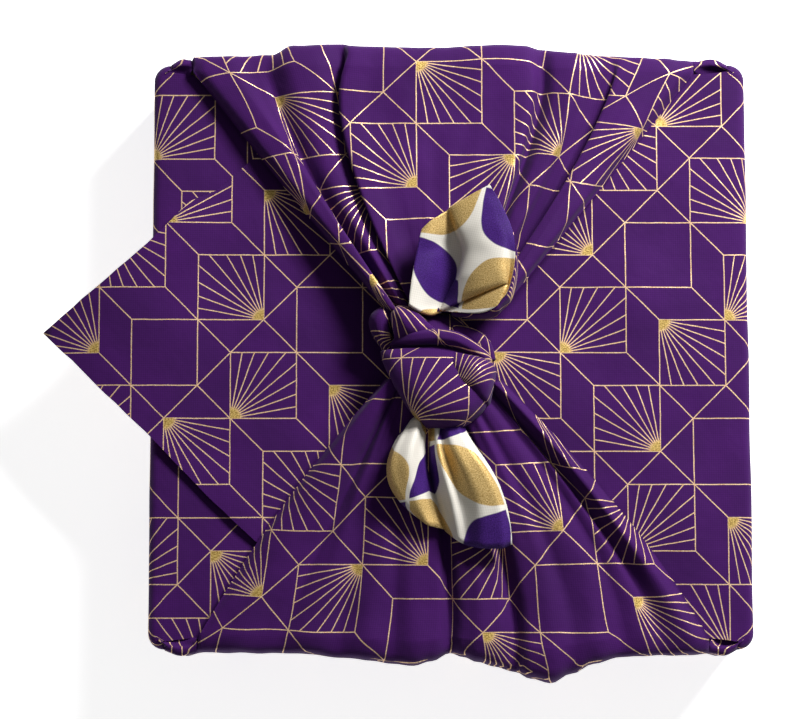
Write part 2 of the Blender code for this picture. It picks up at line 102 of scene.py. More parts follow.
SOUTH_FOLDS = (
    # rim_x, out, rim_h, mid_x, mid_y, mid_h, end_x, end_y, end_h, lap
    (-113.0, 0.0, 0.3, -74.5, -69.0, 1.0, -29.0, -14.0, 7.0, 0.0),
    (-107.0, 0.0, 2.4, -71.0, -70.5, 5.0, -27.0, -14.5, 11.5, 0.0),
    (-97.0, 0.3, 4.2, -64.0, -72.5, 6.6, -25.0, -15.0, 12.5, 0.0),
    (-85.0, 0.3, 1.8, -57.5, -75.0, 4.6, -23.4, -15.4, 10.5, 0.0),
    (-76.0, 0.3, 1.4, -53.0, -76.5, 2.4, -22.4, -15.8, 8.0, 0.0),
    (-62.0, 1.0, 4.4, -46.0, -79.0, 5.0, -20.6, -16.2, 10.0, 0.0),
    (-50.0, 2.4, 2.0, -39.0, -80.5, 3.4, -19.0, -16.6, 9.0, 0.0),
    (-36.0, 3.8, 5.6, -30.0, -82.0, 5.6, -17.5, -17.0, 10.5, 0.0),
    (-26.0, 5.4, 3.6, -23.4, -83.0, 4.4, -16.2, -17.5, 9.5, 0.0),
    (-16.5, 6.3, 6.6, -17.0, -84.0, 6.8, -14.6, -18.0, 10.5, 0.0),
    (-8.5, 4.0, 4.8, -8.6, -88.0, 6.2, -12.0, -19.0, 9.0, 2.0),
    (0.0, 0.3, 0.0, -1.5, -90.0, 0.4, -9.0, -20.0, 4.5, -1.0),
    (5.6, 2.0, 5.6, 3.6, -91.0, 6.6, -7.6, -20.0, 9.0, 0.0),
    (12.0, 4.4, 7.4, 9.6, -91.0, 8.2, -6.0, -20.0, 10.5, 0.0),
    (19.0, 6.5, 6.0, 15.0, -91.5, 6.4, -4.0, -20.0, 9.5, 1.6),
    (29.0, 9.0, 0.4, 23.5, -92.0, 0.2, -1.0, -20.0, 4.0, -1.0),
    (35.5, 11.8, 7.0, 29.0, -91.0, 7.0, 1.4, -20.0, 9.5, 0.0),
    (44.5, 14.0, 7.8, 36.5, -89.5, 7.6, 4.4, -20.0, 11.0, 0.0),
    (54.0, 9.6, 4.6, 43.0, -87.0, 4.6, 6.8, -19.5, 9.5, 0.0),
    (64.0, 5.4, 6.0, 50.6, -84.0, 6.2, 9.4, -19.0, 11.0, 0.0),
    (77.0, 2.0, 1.0, 59.0, -80.0, 3.0, 13.0, -18.0, 8.5, 0.0),
    (86.0, 1.8, 2.6, 63.4, -79.2, 3.6, 14.6, -17.4, 8.5, 0.0),
    (95.0, 1.5, 0.6, 67.0, -78.5, 1.0, 16.0, -17.0, 5.5, -0.8),
    (107.0, 1.5, 4.2, 73.0, -77.0, 7.0, 19.5, -16.0, 12.5, 0.0),
    (115.5, 0.5, 0.3, 78.0, -74.0, 1.0, 23.0, -15.0, 8.0, 0.0),
)
print("fold lines:", len(NORTH_FOLDS), "north,", len(SOUTH_FOLDS), "south")

# %% [markdown]
# ## Curves between the numbers
# Small functions do the drawing: a straight blend, an eased blend with level ends for the round top of a fold,
# curves through three and through four points, and one that puts more rows between the rows of a table. The
# last one gives the fine creases that pulled cotton always has, from smooth noise that is the same every time.

# %% Blends, curves and creases
def lerp(a, b, t):
    return a + (b - a) * t


def ease(t):
    t = min(1.0, max(0.0, t))
    return (1 - math.cos(math.pi * t)) / 2


def through(a, b, c, t):
    return 2 * (t - 0.5) * (t - 1) * a + 4 * t * (1 - t) * b + 2 * t * (t - 0.5) * c


def along(row, t):
    """The smooth curve through four places, evenly spaced from 0 to 1."""
    u = 3 * t
    shares = (
        -(u - 1) * (u - 2) * (u - 3) / 6,
        u * (u - 2) * (u - 3) / 2,
        -u * (u - 1) * (u - 3) / 2,
        u * (u - 1) * (u - 2) / 6,
    )
    return [sum(w * row[3 * p + axis] for p, w in enumerate(shares)) for axis in range(3)]


def rows_between(rows, steps):
    """Rows with others between them, on a smooth curve through every column."""
    made = []
    for i in range(len(rows) - 1):
        quad = [rows[max(i - 1, 0)], rows[i], rows[i + 1], rows[min(i + 2, len(rows) - 1)]]
        for k in range(steps):
            t = k / steps
            shares = (
                -t * (1 - t) ** 2 / 2,
                1 - 2.5 * t * t + 1.5 * t ** 3,
                t / 2 + 2 * t * t - 1.5 * t ** 3,
                -t * t * (1 - t) / 2,
            )
            made.append([sum(w * row[c] for w, row in zip(shares, quad)) for c in range(len(rows[0]))])
    return made + [list(rows[-1])]


def rough(x, y, seed):
    """Smooth noise from about -1 to 1."""
    return noise.noise(Vector((x, y, 7.3 * seed)))


print("half way up a fold the easing gives", ease(0.5))

# %% [markdown]
# ## A sheet that knows its own print
# The mesh keeps, for every corner of every face, where that point lies on the flat square of cloth, in
# metres. That is what a UV map is for. The print is drawn from it later, so its lines bend with the cloth,
# break at a pleat and hardly stretch, as on the real thing.

# %% The sheet being folded
class Sheet:
    def __init__(self):
        self.points = []
        self.faces = []
        self.prints = []
        self.slots = []
        self.slot = 0

    def point(self, x, y, z):
        self.points.append((x, y, z))
        return len(self.points) - 1

    def strip(self, below, above, print_below, print_above):
        """Joins two rows of points, each with its places on the flat cloth."""
        for i in range(len(below) - 1):
            corners = (
                (below[i], print_below[i]),
                (below[i + 1], print_below[i + 1]),
                (above[i + 1], print_above[i + 1]),
                (above[i], print_above[i]),
            )
            kept = []
            for corner in corners:
                if corner[0] not in [k[0] for k in kept]:
                    kept.append(corner)
            if len(kept) > 2:
                self.faces.append([k[0] for k in kept])
                self.prints.append([k[1] for k in kept])
                self.slots.append(self.slot)

    def rows(self, ids, prints, turned=False):
        """Joins rows one after the other. turned makes the sheet face the other way."""
        way = -1 if turned else 1
        for j in range(len(ids) - 1):
            self.strip(ids[j][::way], ids[j + 1][::way], prints[j][::way], prints[j + 1][::way])


cloth = Sheet()

# %% [markdown]
# ## Round the box
# Under the box and up its sides the cloth lies flat. Its points stand in rings: one for each height, with a
# point wherever a fold line of the ears will cross the top edge. The sides swell out where the folds above
# push them, and near each corner a diagonal step shows where the spare cloth is tucked in behind.

# %% Points round the box
def fold_lines(folds, spacing=2.4):
    """Finer lines between the folds: two neighbours and the share of the second."""
    lines = []
    for a, b in zip(folds, folds[1:]):
        steps = max(4, round(abs(b[0] - a[0]) / spacing))
        lines += [(a, b, k / steps) for k in range(steps)]
    return lines + [(folds[-2], folds[-1], 1.0)]


EAR_LINES = {"north": fold_lines(NORTH_FOLDS), "south": fold_lines(SOUTH_FOLDS)}
FOLDS = {"north": NORTH_FOLDS, "south": SOUTH_FOLDS}
LIP_STEPS = 12
SIDE_STEPS = 64
CORNER_STEPS = 8


def bulge(folds, x):
    """How far the folds stand out from the box's side at x."""
    for a, b in zip(folds, folds[1:]):
        if a[0] <= x <= b[0]:
            return lerp(a[1], b[1], ease((x - a[0]) / (b[0] - a[0])))
    near = folds[0][0] if x < 0 else folds[-1][0]
    past = (abs(x) - abs(near)) / (LIP_END - abs(near))
    return max(0.0, LIP_OUT * math.sin(math.pi * min(1.0, past)))


def stations():
    """Places round the wrap, anticlockwise from above: panel, centre of the rounding, normal."""
    flat_x, flat_y = HALF_X - CORNER_R, HALF_Y - CORNER_R
    side_y = [lerp(-flat_y, flat_y, i / SIDE_STEPS) for i in range(SIDE_STEPS + 1)]
    rims = {}
    for side, lines in EAR_LINES.items():
        ear = [lerp(a[0], b[0], k) for a, b, k in lines]
        west = [lerp(-LIP_END, ear[0], k / LIP_STEPS) for k in range(LIP_STEPS)]
        east = [lerp(LIP_END, ear[-1], k / LIP_STEPS) for k in range(LIP_STEPS)]
        rims[side] = west + ear + east[::-1]

    def corner(first, x, y, panel):
        angles = [math.radians(first + 90 * i / CORNER_STEPS) for i in range(CORNER_STEPS + 1)]
        return [(panel, x, y, math.cos(a), math.sin(a)) for a in angles]

    ring = [("east", flat_x, y, 1.0, 0.0) for y in side_y[1:-1]]
    ring += corner(0, flat_x, flat_y, "east")
    ring += [("north", x, flat_y, 0.0, 1.0) for x in reversed(rims["north"])]
    ring += corner(90, -flat_x, flat_y, "west")
    ring += [("west", -flat_x, y, -1.0, 0.0) for y in reversed(side_y[1:-1])]
    ring += corner(180, -flat_x, -flat_y, "west")
    ring += [("south", x, -flat_y, 0.0, -1.0) for x in rims["south"]]
    ring += corner(270, flat_x, -flat_y, "east")
    return ring


RING = stations()
print("places round the box:", len(RING))


# %% Where a point of a side lies, in space and on the flat cloth
def tuck_step(panel, x, z):
    """The diagonal edge of the spare cloth that is tucked in at a corner of the north or south side."""
    near = FOLDS[panel][0][0] if x < 0 else FOLDS[panel][-1][0]
    edge = lerp(HALF_X - 2.0, abs(near) + 3.0, min(1.0, z / TOP_WEST))
    return 0.7 * ease((edge - abs(x)) / 1.6)


def wall_point(station, inset, z, run):
    """A point of the side, with its place on the flat cloth. run is the way up from the flat underside."""
    panel, x, y, nx, ny = station
    out = CORNER_R - inset
    upward = min(1.0, z / TOP_WEST)
    if panel in FOLDS:
        out += bulge(FOLDS[panel], x) * upward ** 1.3 + tuck_step(panel, x, z) * ease(z / 6)
        out += 0.5 * upward * rough(x / 9, z / 40, 3)
    round_x, round_y = x + nx * (CORNER_R - EDGE_R), y + ny * (CORNER_R - EDGE_R)
    out += (0.45 * rough(x / 26, (y + z) / 30, 1) - 0.45) * ease(z / 12) if panel not in FOLDS else 0.0
    place = (x + nx * out, y + ny * out, z)
    if panel in FOLDS:
        flat = (round_x, round_y + ny * run)
    else:
        flat = (round_x + math.copysign(run, round_x), round_y)
    return cloth.point(*place), flat


def rounding(top, steps=6):
    """Rows over an upper edge: inset, height and the way that the cloth has run since the lower row."""
    rows = []
    for i in range(steps + 1):
        angle = math.radians(90 * i / steps)
        run = top - 2 * EDGE_R + EDGE_R * math.pi / 2 + EDGE_R * angle
        rows.append((EDGE_R * (1 - math.cos(angle)), top - EDGE_R * (1 - math.sin(angle)), run))
    return rows


# %% The underside and the sides
def tray():
    rows = []
    for degrees in (0, 22.5, 45, 67.5, 90):
        angle = math.radians(degrees)
        rows.append((EDGE_R * (1 - math.sin(angle)), EDGE_R * (1 - math.cos(angle)), EDGE_R * angle))
    for i in range(1, 11):
        z = lerp(EDGE_R, SPLIT_Z, i / 10)
        rows.append((0.0, z, z - EDGE_R + EDGE_R * math.pi / 2))
    below, print_below = None, None
    for number, (inset, z, run) in enumerate(rows):
        made = [wall_point(s, inset, z, run) for s in RING]
        made.append(made[0])
        row, flat = [m[0] for m in made], [m[1] for m in made]
        if number == 0:
            for share in (0.0, 0.5, 0.8):
                if share == 0.0:
                    centre = cloth.point(0.0, 0.0, 0.0)
                    inner, print_inner = [centre] * len(row), [(0.0, 0.0)] * len(row)
                    continue
                ids = [cloth.point(f[0] * share, f[1] * share, 0.0) for f in flat[:-1]]
                ids.append(ids[0])
                print_ids = [(f[0] * share, f[1] * share) for f in flat]
                cloth.strip(inner, ids, print_inner, print_ids)
                inner, print_inner = ids, print_ids
            cloth.strip(inner, row, print_inner, flat)
        else:
            cloth.strip(below, row, print_below, flat)
        below, print_below = row, flat
    return [(s, p, f) for s, p, f in zip(RING, below, print_below)]


top_ring = tray()
print("faces of the tray:", len(cloth.faces))


def panel_of(name):
    """A panel's places in the order of the ring, also where the panel crosses the ring's start."""
    chosen = [s[0][0] == name for s in top_ring]
    start = next(i for i in range(len(chosen)) if chosen[i] and not chosen[i - 1])
    turned = top_ring[start:] + top_ring[:start]
    return [item for item in turned if item[0][0] == name]


# %% [markdown]
# ## The two flaps
# The west corner of the cloth is folded over the box first, then the east corner over that. The east flap is
# so long that its point hangs past the west edge, where it bends down a little under its own weight. Each
# flap is a grid that gets narrower row by row. A few low swells keep it from looking like board, and its edge
# curves back a little where a slit is left at each corner.

# %% Outlines of the flaps
EAST_FLAP = (
    # x, north_y, south_y, z
    (128.0, 130.6, -130.6, TOP_EAST),
    (123.0, 129.9, -129.9, TOP_EAST),
    (117.0, 129.3, -129.3, TOP_EAST),
    (108.0, 129.4, -129.4, TOP_EAST),
    (15.0, 129.5, -129.5, TOP_EAST),
    (-40.0, 129.5, -129.5, TOP_EAST),
    (-66.0, 112.0, -106.0, TOP_EAST),
    (-89.0, 91.0, -84.5, TOP_EAST),
    (-107.0, 75.0, -68.0, TOP_EAST),
    (-119.0, 69.0, -56.0, TOP_EAST + 0.6),
    (-138.0, 50.0, -36.5, TOP_EAST + 1.6),
    (-156.0, 34.5, -19.5, TOP_EAST + 1.0),
    (-172.0, 21.0, -4.0, TOP_EAST - 1.4),
    (-186.0, 9.3, 9.3, TOP_EAST - 4.6),
)
WEST_FLAP = (
    # x, north_y, south_y, z
    (-128.0, 130.6, -130.6, TOP_WEST),
    (-123.0, 129.9, -129.9, TOP_WEST),
    (-117.0, 129.3, -129.3, TOP_WEST),
    (-108.0, 129.4, -129.4, TOP_WEST),
    (-60.0, 129.5, -129.5, TOP_WEST),
    (0.0, 129.5, -129.5, TOP_WEST),
    (45.0, 129.5, -129.5, TOP_WEST),
    (80.0, 95.0, -95.0, TOP_WEST),
    (112.0, 63.0, -63.0, TOP_WEST),
    (117.0, 58.0, -58.0, TOP_WEST - 0.2),
)
SWELLS = (
    # x, y, radius, height
    (88.0, 18.0, 38.0, 1.3),
    (84.0, -32.0, 34.0, 1.1),
    (-74.0, 12.0, 34.0, 1.2),
)


KNOT_X, KNOT_Y = -8.0, -6.0
CUT_WAVE = 0.7


def swell(x, y):
    """How far the east flap stands off the layer below, with the soft creases that lie over the swells."""
    high = 0.0
    for cx, cy, radius, height in SWELLS:
        away = min(1.0, math.hypot(x - cx, y - cy) / radius)
        high += height * ease(1 - away)
    away = math.hypot(x - KNOT_X, y - KNOT_Y)
    turn = math.atan2(y - KNOT_Y, x - KNOT_X)
    creases = rough(turn * 7, away / 60, 5) + 0.6 * rough(turn * 15, away / 45, 9)
    inside = ease((130 - abs(y)) / 25) * ease((131 - x) / 25) * ease((x + 190) / 40)
    waves = 1.5 * rough(x / 46, y / 38, 8) + 0.4 * rough(x / 19, y / 23, 6)
    return high * (0.75 + 0.45 * creases) + 0.1 * rough(x / 14, y / 14, 2) + waves * inside


def finer(rows, longest):
    """Rows with others between them, none further apart in x than longest: the heights on a smooth curve, the
    other columns on straight lines.
    """
    made = []
    for i in range(len(rows) - 1):
        quad = [rows[max(i - 1, 0)], rows[i], rows[i + 1], rows[min(i + 2, len(rows) - 1)]]
        steps = max(1, math.ceil(abs(rows[i + 1][0] - rows[i][0]) / longest))
        for k in range(steps):
            t = k / steps
            row = []
            for c in range(len(rows[0])):
                slope_a = (quad[2][c] - quad[0][c]) / max(1e-6, abs(quad[2][0] - quad[0][0]))
                slope_b = (quad[3][c] - quad[1][c]) / max(1e-6, abs(quad[3][0] - quad[1][0]))
                span = abs(quad[2][0] - quad[1][0])
                smooth = (
                    (2 * t ** 3 - 3 * t ** 2 + 1) * quad[1][c]
                    + (t ** 3 - 2 * t ** 2 + t) * slope_a * span
                    + (3 * t ** 2 - 2 * t ** 3) * quad[2][c]
                    + (t ** 3 - t ** 2) * slope_b * span
                )
                straight = lerp(quad[1][c], quad[2][c], t)
                row.append(smooth if c == 3 else straight)
            made.append(row)
    return made + [list(rows[-1])]


# %% Fold the flaps over the top
def flap(name, outline, top):
    column = panel_of(name)
    sign = 1.0 if name == "east" else -1.0
    ids, prints = [[p for _, p, _ in column]], [[f for _, _, f in column]]
    for inset, z, run in rounding(top):
        made = [wall_point(s, inset, z, run) for s, _, _ in column]
        ids.append([m[0] for m in made])
        prints.append([m[1] for m in made])
    run = rounding(top)[-1][2]
    reach = HALF_Y - EDGE_R
    edge_x = HALF_X - EDGE_R
    for x, north_y, south_y, z in finer(outline, 4.8):
        if 10 < north_y < 129:
            north_y += CUT_WAVE * rough(x / 7, 0, 31)
            south_y += CUT_WAVE * rough(x / 8, 0, 32)
        row, flat = [], []
        for (_, _, y, _, ny), _, _ in column:
            share = (y + ny * (CORNER_R - EDGE_R) + reach) / (2 * reach)
            y = lerp(south_y, north_y, share)
            high = z + (swell(x, y) if name == "east" else 0.08 * rough(x / 15, y / 15, 4))
            row.append(row[0] if row and north_y == south_y else cloth.point(x, y, high))
            flat.append((sign * (edge_x + run + edge_x) - x, y))
        ids.append(row)
        prints.append(flat)
    cloth.rows(ids, prints)
    return ids[-1], prints[-1]


before = len(cloth.faces)
west_end, west_print = flap("west", WEST_FLAP, TOP_WEST)
flap("east", EAST_FLAP, TOP_EAST)
print("faces of the flaps:", len(cloth.faces) - before)


# %% Turn the west flap's point back under itself
TIP_ROWS, TIP_BACK, TIP_DROP = 8, 56.0, 0.75


def tuck_west_tip():
    """The point that would pass the east edge is folded back below the flap, out of sight."""
    fold_x, fold_half, _, fold_z = WEST_FLAP[-1]
    ids, prints = [west_end], [west_print]
    for i in range(1, TIP_ROWS + 1):
        t = i / TIP_ROWS
        x = fold_x - TIP_BACK * t
        half = lerp(fold_half, 1.5, t)
        z = fold_z - TIP_DROP * ease(t * 6)
        count = len(west_end)
        row = [cloth.point(x, lerp(-half, half, k / (count - 1)), z) for k in range(count)]
        if west_print[0][1] > 0:
            row.reverse()
        flat = [(west_print[0][0] - TIP_BACK * t, cloth.points[p][1]) for p in row]
        ids.append(row)
        prints.append(flat)
    cloth.rows(ids, prints)


tuck_west_tip()

# %% [markdown]
# ## The two ears
# The north and south corners come up over their sides and are gathered towards the knot. This is where the
# fold tables are used. Each ear is a grid of fold lines by rows, from the lip on the side, over the edge and
# up to the knot. To find where the print falls, the folded grid is laid flat again by a small calculation that
# moves its points until every edge has its true length. The outer edges are turned under, which gives the ear
# the soft rolled edge that folded cotton has. Between lip and flap a slit is left at each corner of the box. It
# is open in its middle and closes at both ends, like an eye.

# %% Rows of an ear
EAR_ROWS = 52
FLATTEN_ROUNDS = 500
LIP_Z = TOP_EAR - 2.0
SHOULDER_IN, SHOULDER_SHARE = 3.8, 0.85
LANDING_IN, LANDING_SHARE = 6.0, 0.4
TENT = 6.0
FINE_CREASES = (
    # how many across the ear and on the way up, seed, height
    (17, 1.7, 15, 1.0), (34, 2.2, 11, 1.0), (75, 3.0, 13, 0.4),
)


def fold_share(a, b, k, part):
    """The share of the second fold's height: a fold is round on its ridge and sharper in its valley."""
    rising = b[part] > a[part]
    round_top = math.sin(math.pi * k / 2) if rising else 1 - math.cos(math.pi * k / 2)
    return lerp(ease(k), round_top, 0.6)


def at_rim(a, b, k):
    """How far a fold line stands out from the side, and how high it is at the box's edge."""
    return lerp(a[1], b[1], ease(k)), lerp(a[2], b[2], fold_share(a, b, k, 2))


def ear_place(side, a, b, k, s, t):
    """A point of an ear: a, b and k are its fold line, s its share across and t its share up to the knot."""
    out = 1 if side == "north" else -1
    stand, rim_h = at_rim(a, b, k)
    rim_y = out * (HALF_Y - LANDING_IN + LANDING_SHARE * stand)
    lap = lerp(a[9], b[9], ease(k)) * ease((t + 0.35) / 0.7) * (1 - 0.5 * t)
    x = through(lerp(a[0], b[0], k), lerp(a[3], b[3], k), lerp(a[6], b[6], k), t) + lap
    y = through(rim_y, lerp(a[4], b[4], k), lerp(a[7], b[7], k), t)
    mid_h, end_h = lerp(a[5], b[5], fold_share(a, b, k, 5)), lerp(a[8], b[8], fold_share(a, b, k, 8))
    h = max(0.0, through(rim_h, mid_h, end_h, t))
    h += TENT * t ** 2.2
    pulled = 0.2 + 0.85 * t
    fine = sum(high * rough(s * across, t * up, seed + out) for across, up, seed, high in FINE_CREASES)
    h += pulled * fine * min(1.0, h / 2.5)
    h += 0.5 * rough(x / 16, y / 16, 17 + out) * min(1.0, h / 3)
    return x, y, TOP_EAR + h


def first_guess(ids, first_row, out):
    """Roughly where an ear's points lie on the flat cloth: rows of their true length, one after the other."""
    solid = numpy.array([[cloth.points[p] for p in row] for row in ids])
    flat = numpy.zeros(solid.shape[:2] + (2,))
    flat[0] = first_row
    middle = solid.shape[1] // 2
    for j in range(1, len(ids)):
        onward = math.dist(solid[j, middle], solid[j - 1, middle])
        steps = numpy.linalg.norm(numpy.diff(solid[j], axis=0), axis=1)
        across = numpy.concatenate(([0.0], numpy.cumsum(steps)))
        flat[j, :, 0] = across - across[middle] + solid[j, middle, 0]
        flat[j, :, 1] = flat[j - 1, middle, 1] + out * onward - (solid[j, :, 1] - solid[j, middle, 1])
    return flat


def flattened(ids, guess):
    """Lays a folded grid flat, from a first guess that keeps its first row: every edge gets its true length."""
    solid = numpy.array([[cloth.points[p] for p in row] for row in ids])
    flat, first_row = numpy.array(guess), numpy.array(guess[0])
    whole, ahead, behind = slice(None), slice(1, None), slice(None, -1)
    pairs = (
        ((whole, behind), (whole, ahead)), ((behind, whole), (ahead, whole)),
        ((behind, behind), (ahead, ahead)), ((behind, ahead), (ahead, behind)),
    )
    lengths = [numpy.linalg.norm(solid[q] - solid[p], axis=-1) for p, q in pairs]
    for _ in range(FLATTEN_ROUNDS):
        moved, count = numpy.zeros_like(flat), numpy.zeros(flat.shape[:2])
        for (p, q), length in zip(pairs, lengths):
            between = flat[q] - flat[p]
            now = numpy.linalg.norm(between, axis=-1) + 1e-9
            push = between * (0.5 * (now - length) / now)[..., None]
            moved[p] += push
            moved[q] -= push
            count[p] += 1
            count[q] += 1
        flat += 1.4 * moved / count[..., None]
        flat[0] = first_row
    stretch = numpy.abs(numpy.linalg.norm(flat[pairs[1][1]] - flat[pairs[1][0]], axis=-1) / lengths[1] - 1)
    print("laid flat with an average stretch of", round(float(stretch.mean()) * 100, 1), "%")
    return [[tuple(place) for place in row] for row in flat]


# %% The spare cloth that shows in the slit at each corner
POCKET_LOW = 46.8
POCKET_X, POCKET_SPAN = 105.0, 22.0
POCKET_ROWS = (
    # y and z by the corner, in the open middle and by the ear, shift towards the corner, way run on the flat
    (133.2, 48.7, 134.2, 50.2, 133.5, 50.6, 0.0, 0.6),
    (132.3, 49.4, 133.4, 50.2, 132.6, 51.1, 0.1, 1.5),
    (131.4, 49.8, 132.9, 49.2, 131.7, 51.3, 0.3, 2.6),
    (130.5, 50.0, 132.4, 47.6, 130.8, 51.2, 1.5, 4.2),
    (129.9, 50.0, 131.0, 46.85, 130.0, 50.7, 2.5, 5.5),
    (129.3, 48.6, 128.5, POCKET_LOW, 129.4, 49.0, 2.5, 8.0),
    (128.6, POCKET_LOW, 126.0, POCKET_LOW, 128.7, POCKET_LOW, 2.5, 10.5),
    (96.0, POCKET_LOW, 96.0, POCKET_LOW, 96.0, POCKET_LOW, 2.5, 40.0),
)


def pocket(side, lip, lip_prints):
    """From the lip the cloth rolls over, goes down into the slit and on under the flaps."""
    out = 1 if side == "north" else -1
    ids, prints = [lip], [lip_prints]
    corner_x, ear_x = LIP_END, min(abs(cloth.points[p][0]) for p in lip)
    for at_corner_y, at_corner_z, middle_y, middle_z, at_ear_y, at_ear_z, shift, run in POCKET_ROWS:
        row, flat = [], []
        for place, (u, v) in zip(lip, lip_prints):
            x = cloth.points[place][0]
            s = (corner_x - abs(x)) / (corner_x - ear_x)
            opened = math.sin(math.pi * min(1.0, max(0.0, s))) ** 0.7
            y = lerp(lerp(at_corner_y, at_ear_y, ease(s)), middle_y, opened)
            low = max(POCKET_LOW, at_corner_z - (0.0 if x > 0 else 0.9 * (TOP_EAST - TOP_WEST)))
            z = lerp(lerp(low, at_ear_z, ease(s)), middle_z, opened)
            aside = math.copysign(shift, x) * (abs(x) - POCKET_X) / POCKET_SPAN
            row.append(cloth.point(x + aside, out * y, z))
            flat.append((u, v + out * run))
        ids.append(row)
        prints.append(flat)
    cloth.rows(ids, prints, turned=out > 0)


# %% Gather the ears
WALL_ROWS = (
    # inset, height, how much lower the row is by the corner
    (0.0, TOP_WEST - EDGE_R, 0.0),
    (0.1, TOP_EAR - 5.5, 0.4),
    (0.3, TOP_EAR - 3.6, 0.9),
    (0.8, LIP_Z, 1.6),
)
SINK_WIDTH = 6.0
SHOULDER_ROWS, SHOULDER_RISE = 3, 0.7
UNDER_RIM, UNDER_KNOT = 106.0, 20.0
UNDER_STEPS, UNDER_BEND, UNDER_CLEAR = 9, 3.0, 0.9


def ear(side):
    out = 1 if side == "north" else -1
    lines = EAR_LINES[side]
    column = panel_of(side)
    if out > 0:
        column = column[::-1]
    ids = [[p for _, p, _ in column]]
    prints = [[f for _, _, f in column]]
    for inset, z, sink in WALL_ROWS:
        run = z - EDGE_R + EDGE_R * math.pi / 2
        made = []
        for s, _, _ in column:
            down = sink * ease((abs(s[1]) - LIP_END + SINK_WIDTH) / SINK_WIDTH)
            made.append(wall_point(s, inset + 0.2 * down, z - down, run))
        ids.append([m[0] for m in made])
        prints.append([m[1] for m in made])
    cloth.rows(ids, prints, turned=out > 0)
    pocket(side, ids[-1][:LIP_STEPS + 1], prints[-1][:LIP_STEPS + 1])
    pocket(side, ids[-1][-LIP_STEPS - 1:], prints[-1][-LIP_STEPS - 1:])
    lip = ids[-1][LIP_STEPS:-LIP_STEPS]
    rows = [lip]
    count = len(lines)
    for n in range(1, SHOULDER_ROWS + 1):
        row = []
        for i, (a, b, k) in enumerate(lines):
            stand, rim_h = at_rim(a, b, k)
            low = cloth.points[lip[i]]
            far = HALF_Y - SHOULDER_IN + SHOULDER_SHARE * stand
            high = TOP_EAR - 0.1 + SHOULDER_RISE * rim_h
            turn = math.radians(90 * n / SHOULDER_ROWS)
            y = out * lerp(abs(low[1]), far, 1 - math.cos(turn))
            row.append(cloth.point(low[0], y, lerp(low[2], high, math.sin(turn))))
        rows.append(row)
    for j in range(EAR_ROWS + 1):
        t = j / EAR_ROWS
        row = []
        for i, (a, b, k) in enumerate(lines):
            row.append(cloth.point(*ear_place(side, a, b, k, i / (count - 1), t)))
        rows.append(row)
    flats = flattened(rows, first_guess(rows, prints[-1][LIP_STEPS:-LIP_STEPS], out))
    cloth.rows(rows, flats, turned=out > 0)
    over = 1 + SHOULDER_ROWS
    for west in (True, False):
        near = slice(0, 2) if west else slice(-1, -3, -1)
        turn_under(side, rows[over:], [row[near] for row in flats[over:]], west)
    print(side, "ear:", len(rows), "rows of", count)


def turn_under(side, rows, flats, west):
    """The spare cloth along an ear's outer edge, turned under it and hidden."""
    inward = 1 if west else -1
    ids, prints = [], []
    for j, (ear_row, (edge_flat, next_flat)) in enumerate(zip(rows, flats)):
        corner = ear_row[0 if west else -1]
        x, y, z = cloth.points[corner]
        t = j / (len(rows) - 1)
        width = lerp(UNDER_RIM, UNDER_KNOT, t)
        lowest = min(cloth.points[p][2] for p in ear_row)
        rising = lerp(TOP_EAST + 0.5, z, 0.9 * ease((t - 0.4) / 0.6))
        floor = max(TOP_EAST + 0.5, min(rising, lowest - UNDER_CLEAR))
        du, dv = edge_flat[0] - next_flat[0], edge_flat[1] - next_flat[1]
        size = math.hypot(du, dv)
        row, flat, gone = [corner], [edge_flat], 0.0
        for k in range(1, UNDER_STEPS + 1):
            across = ((k / UNDER_STEPS) ** 1.8) * width
            row.append(cloth.point(x + inward * across, y, lerp(z, floor, ease(across / UNDER_BEND))))
            gone += math.dist(cloth.points[row[-1]], cloth.points[row[-2]])
            flat.append((edge_flat[0] + du / size * gone, edge_flat[1] + dv / size * gone))
        ids.append(row)
        prints.append(flat)
    cloth.rows(ids, prints, turned=(side == "north") == west)


# From here both sides are printed, because at a tight fold the back must not peep through
TIGHT_FOLDS = 2
before = len(cloth.faces)
cloth.slot = TIGHT_FOLDS
ear("north")
ear("south")
cloth.slot = 0
print("faces of the ears:", len(cloth.faces) - before)

# %% [markdown]
# ## The lower free end
# Past the knot the two corners of the cloth open again and show the back of the cloth. The southern one is a
# cupped leaf. It is a grid from its root in the knot to its rim, and across from one side to the other, with a
# deep fold left of its middle and a small pleat beside that.

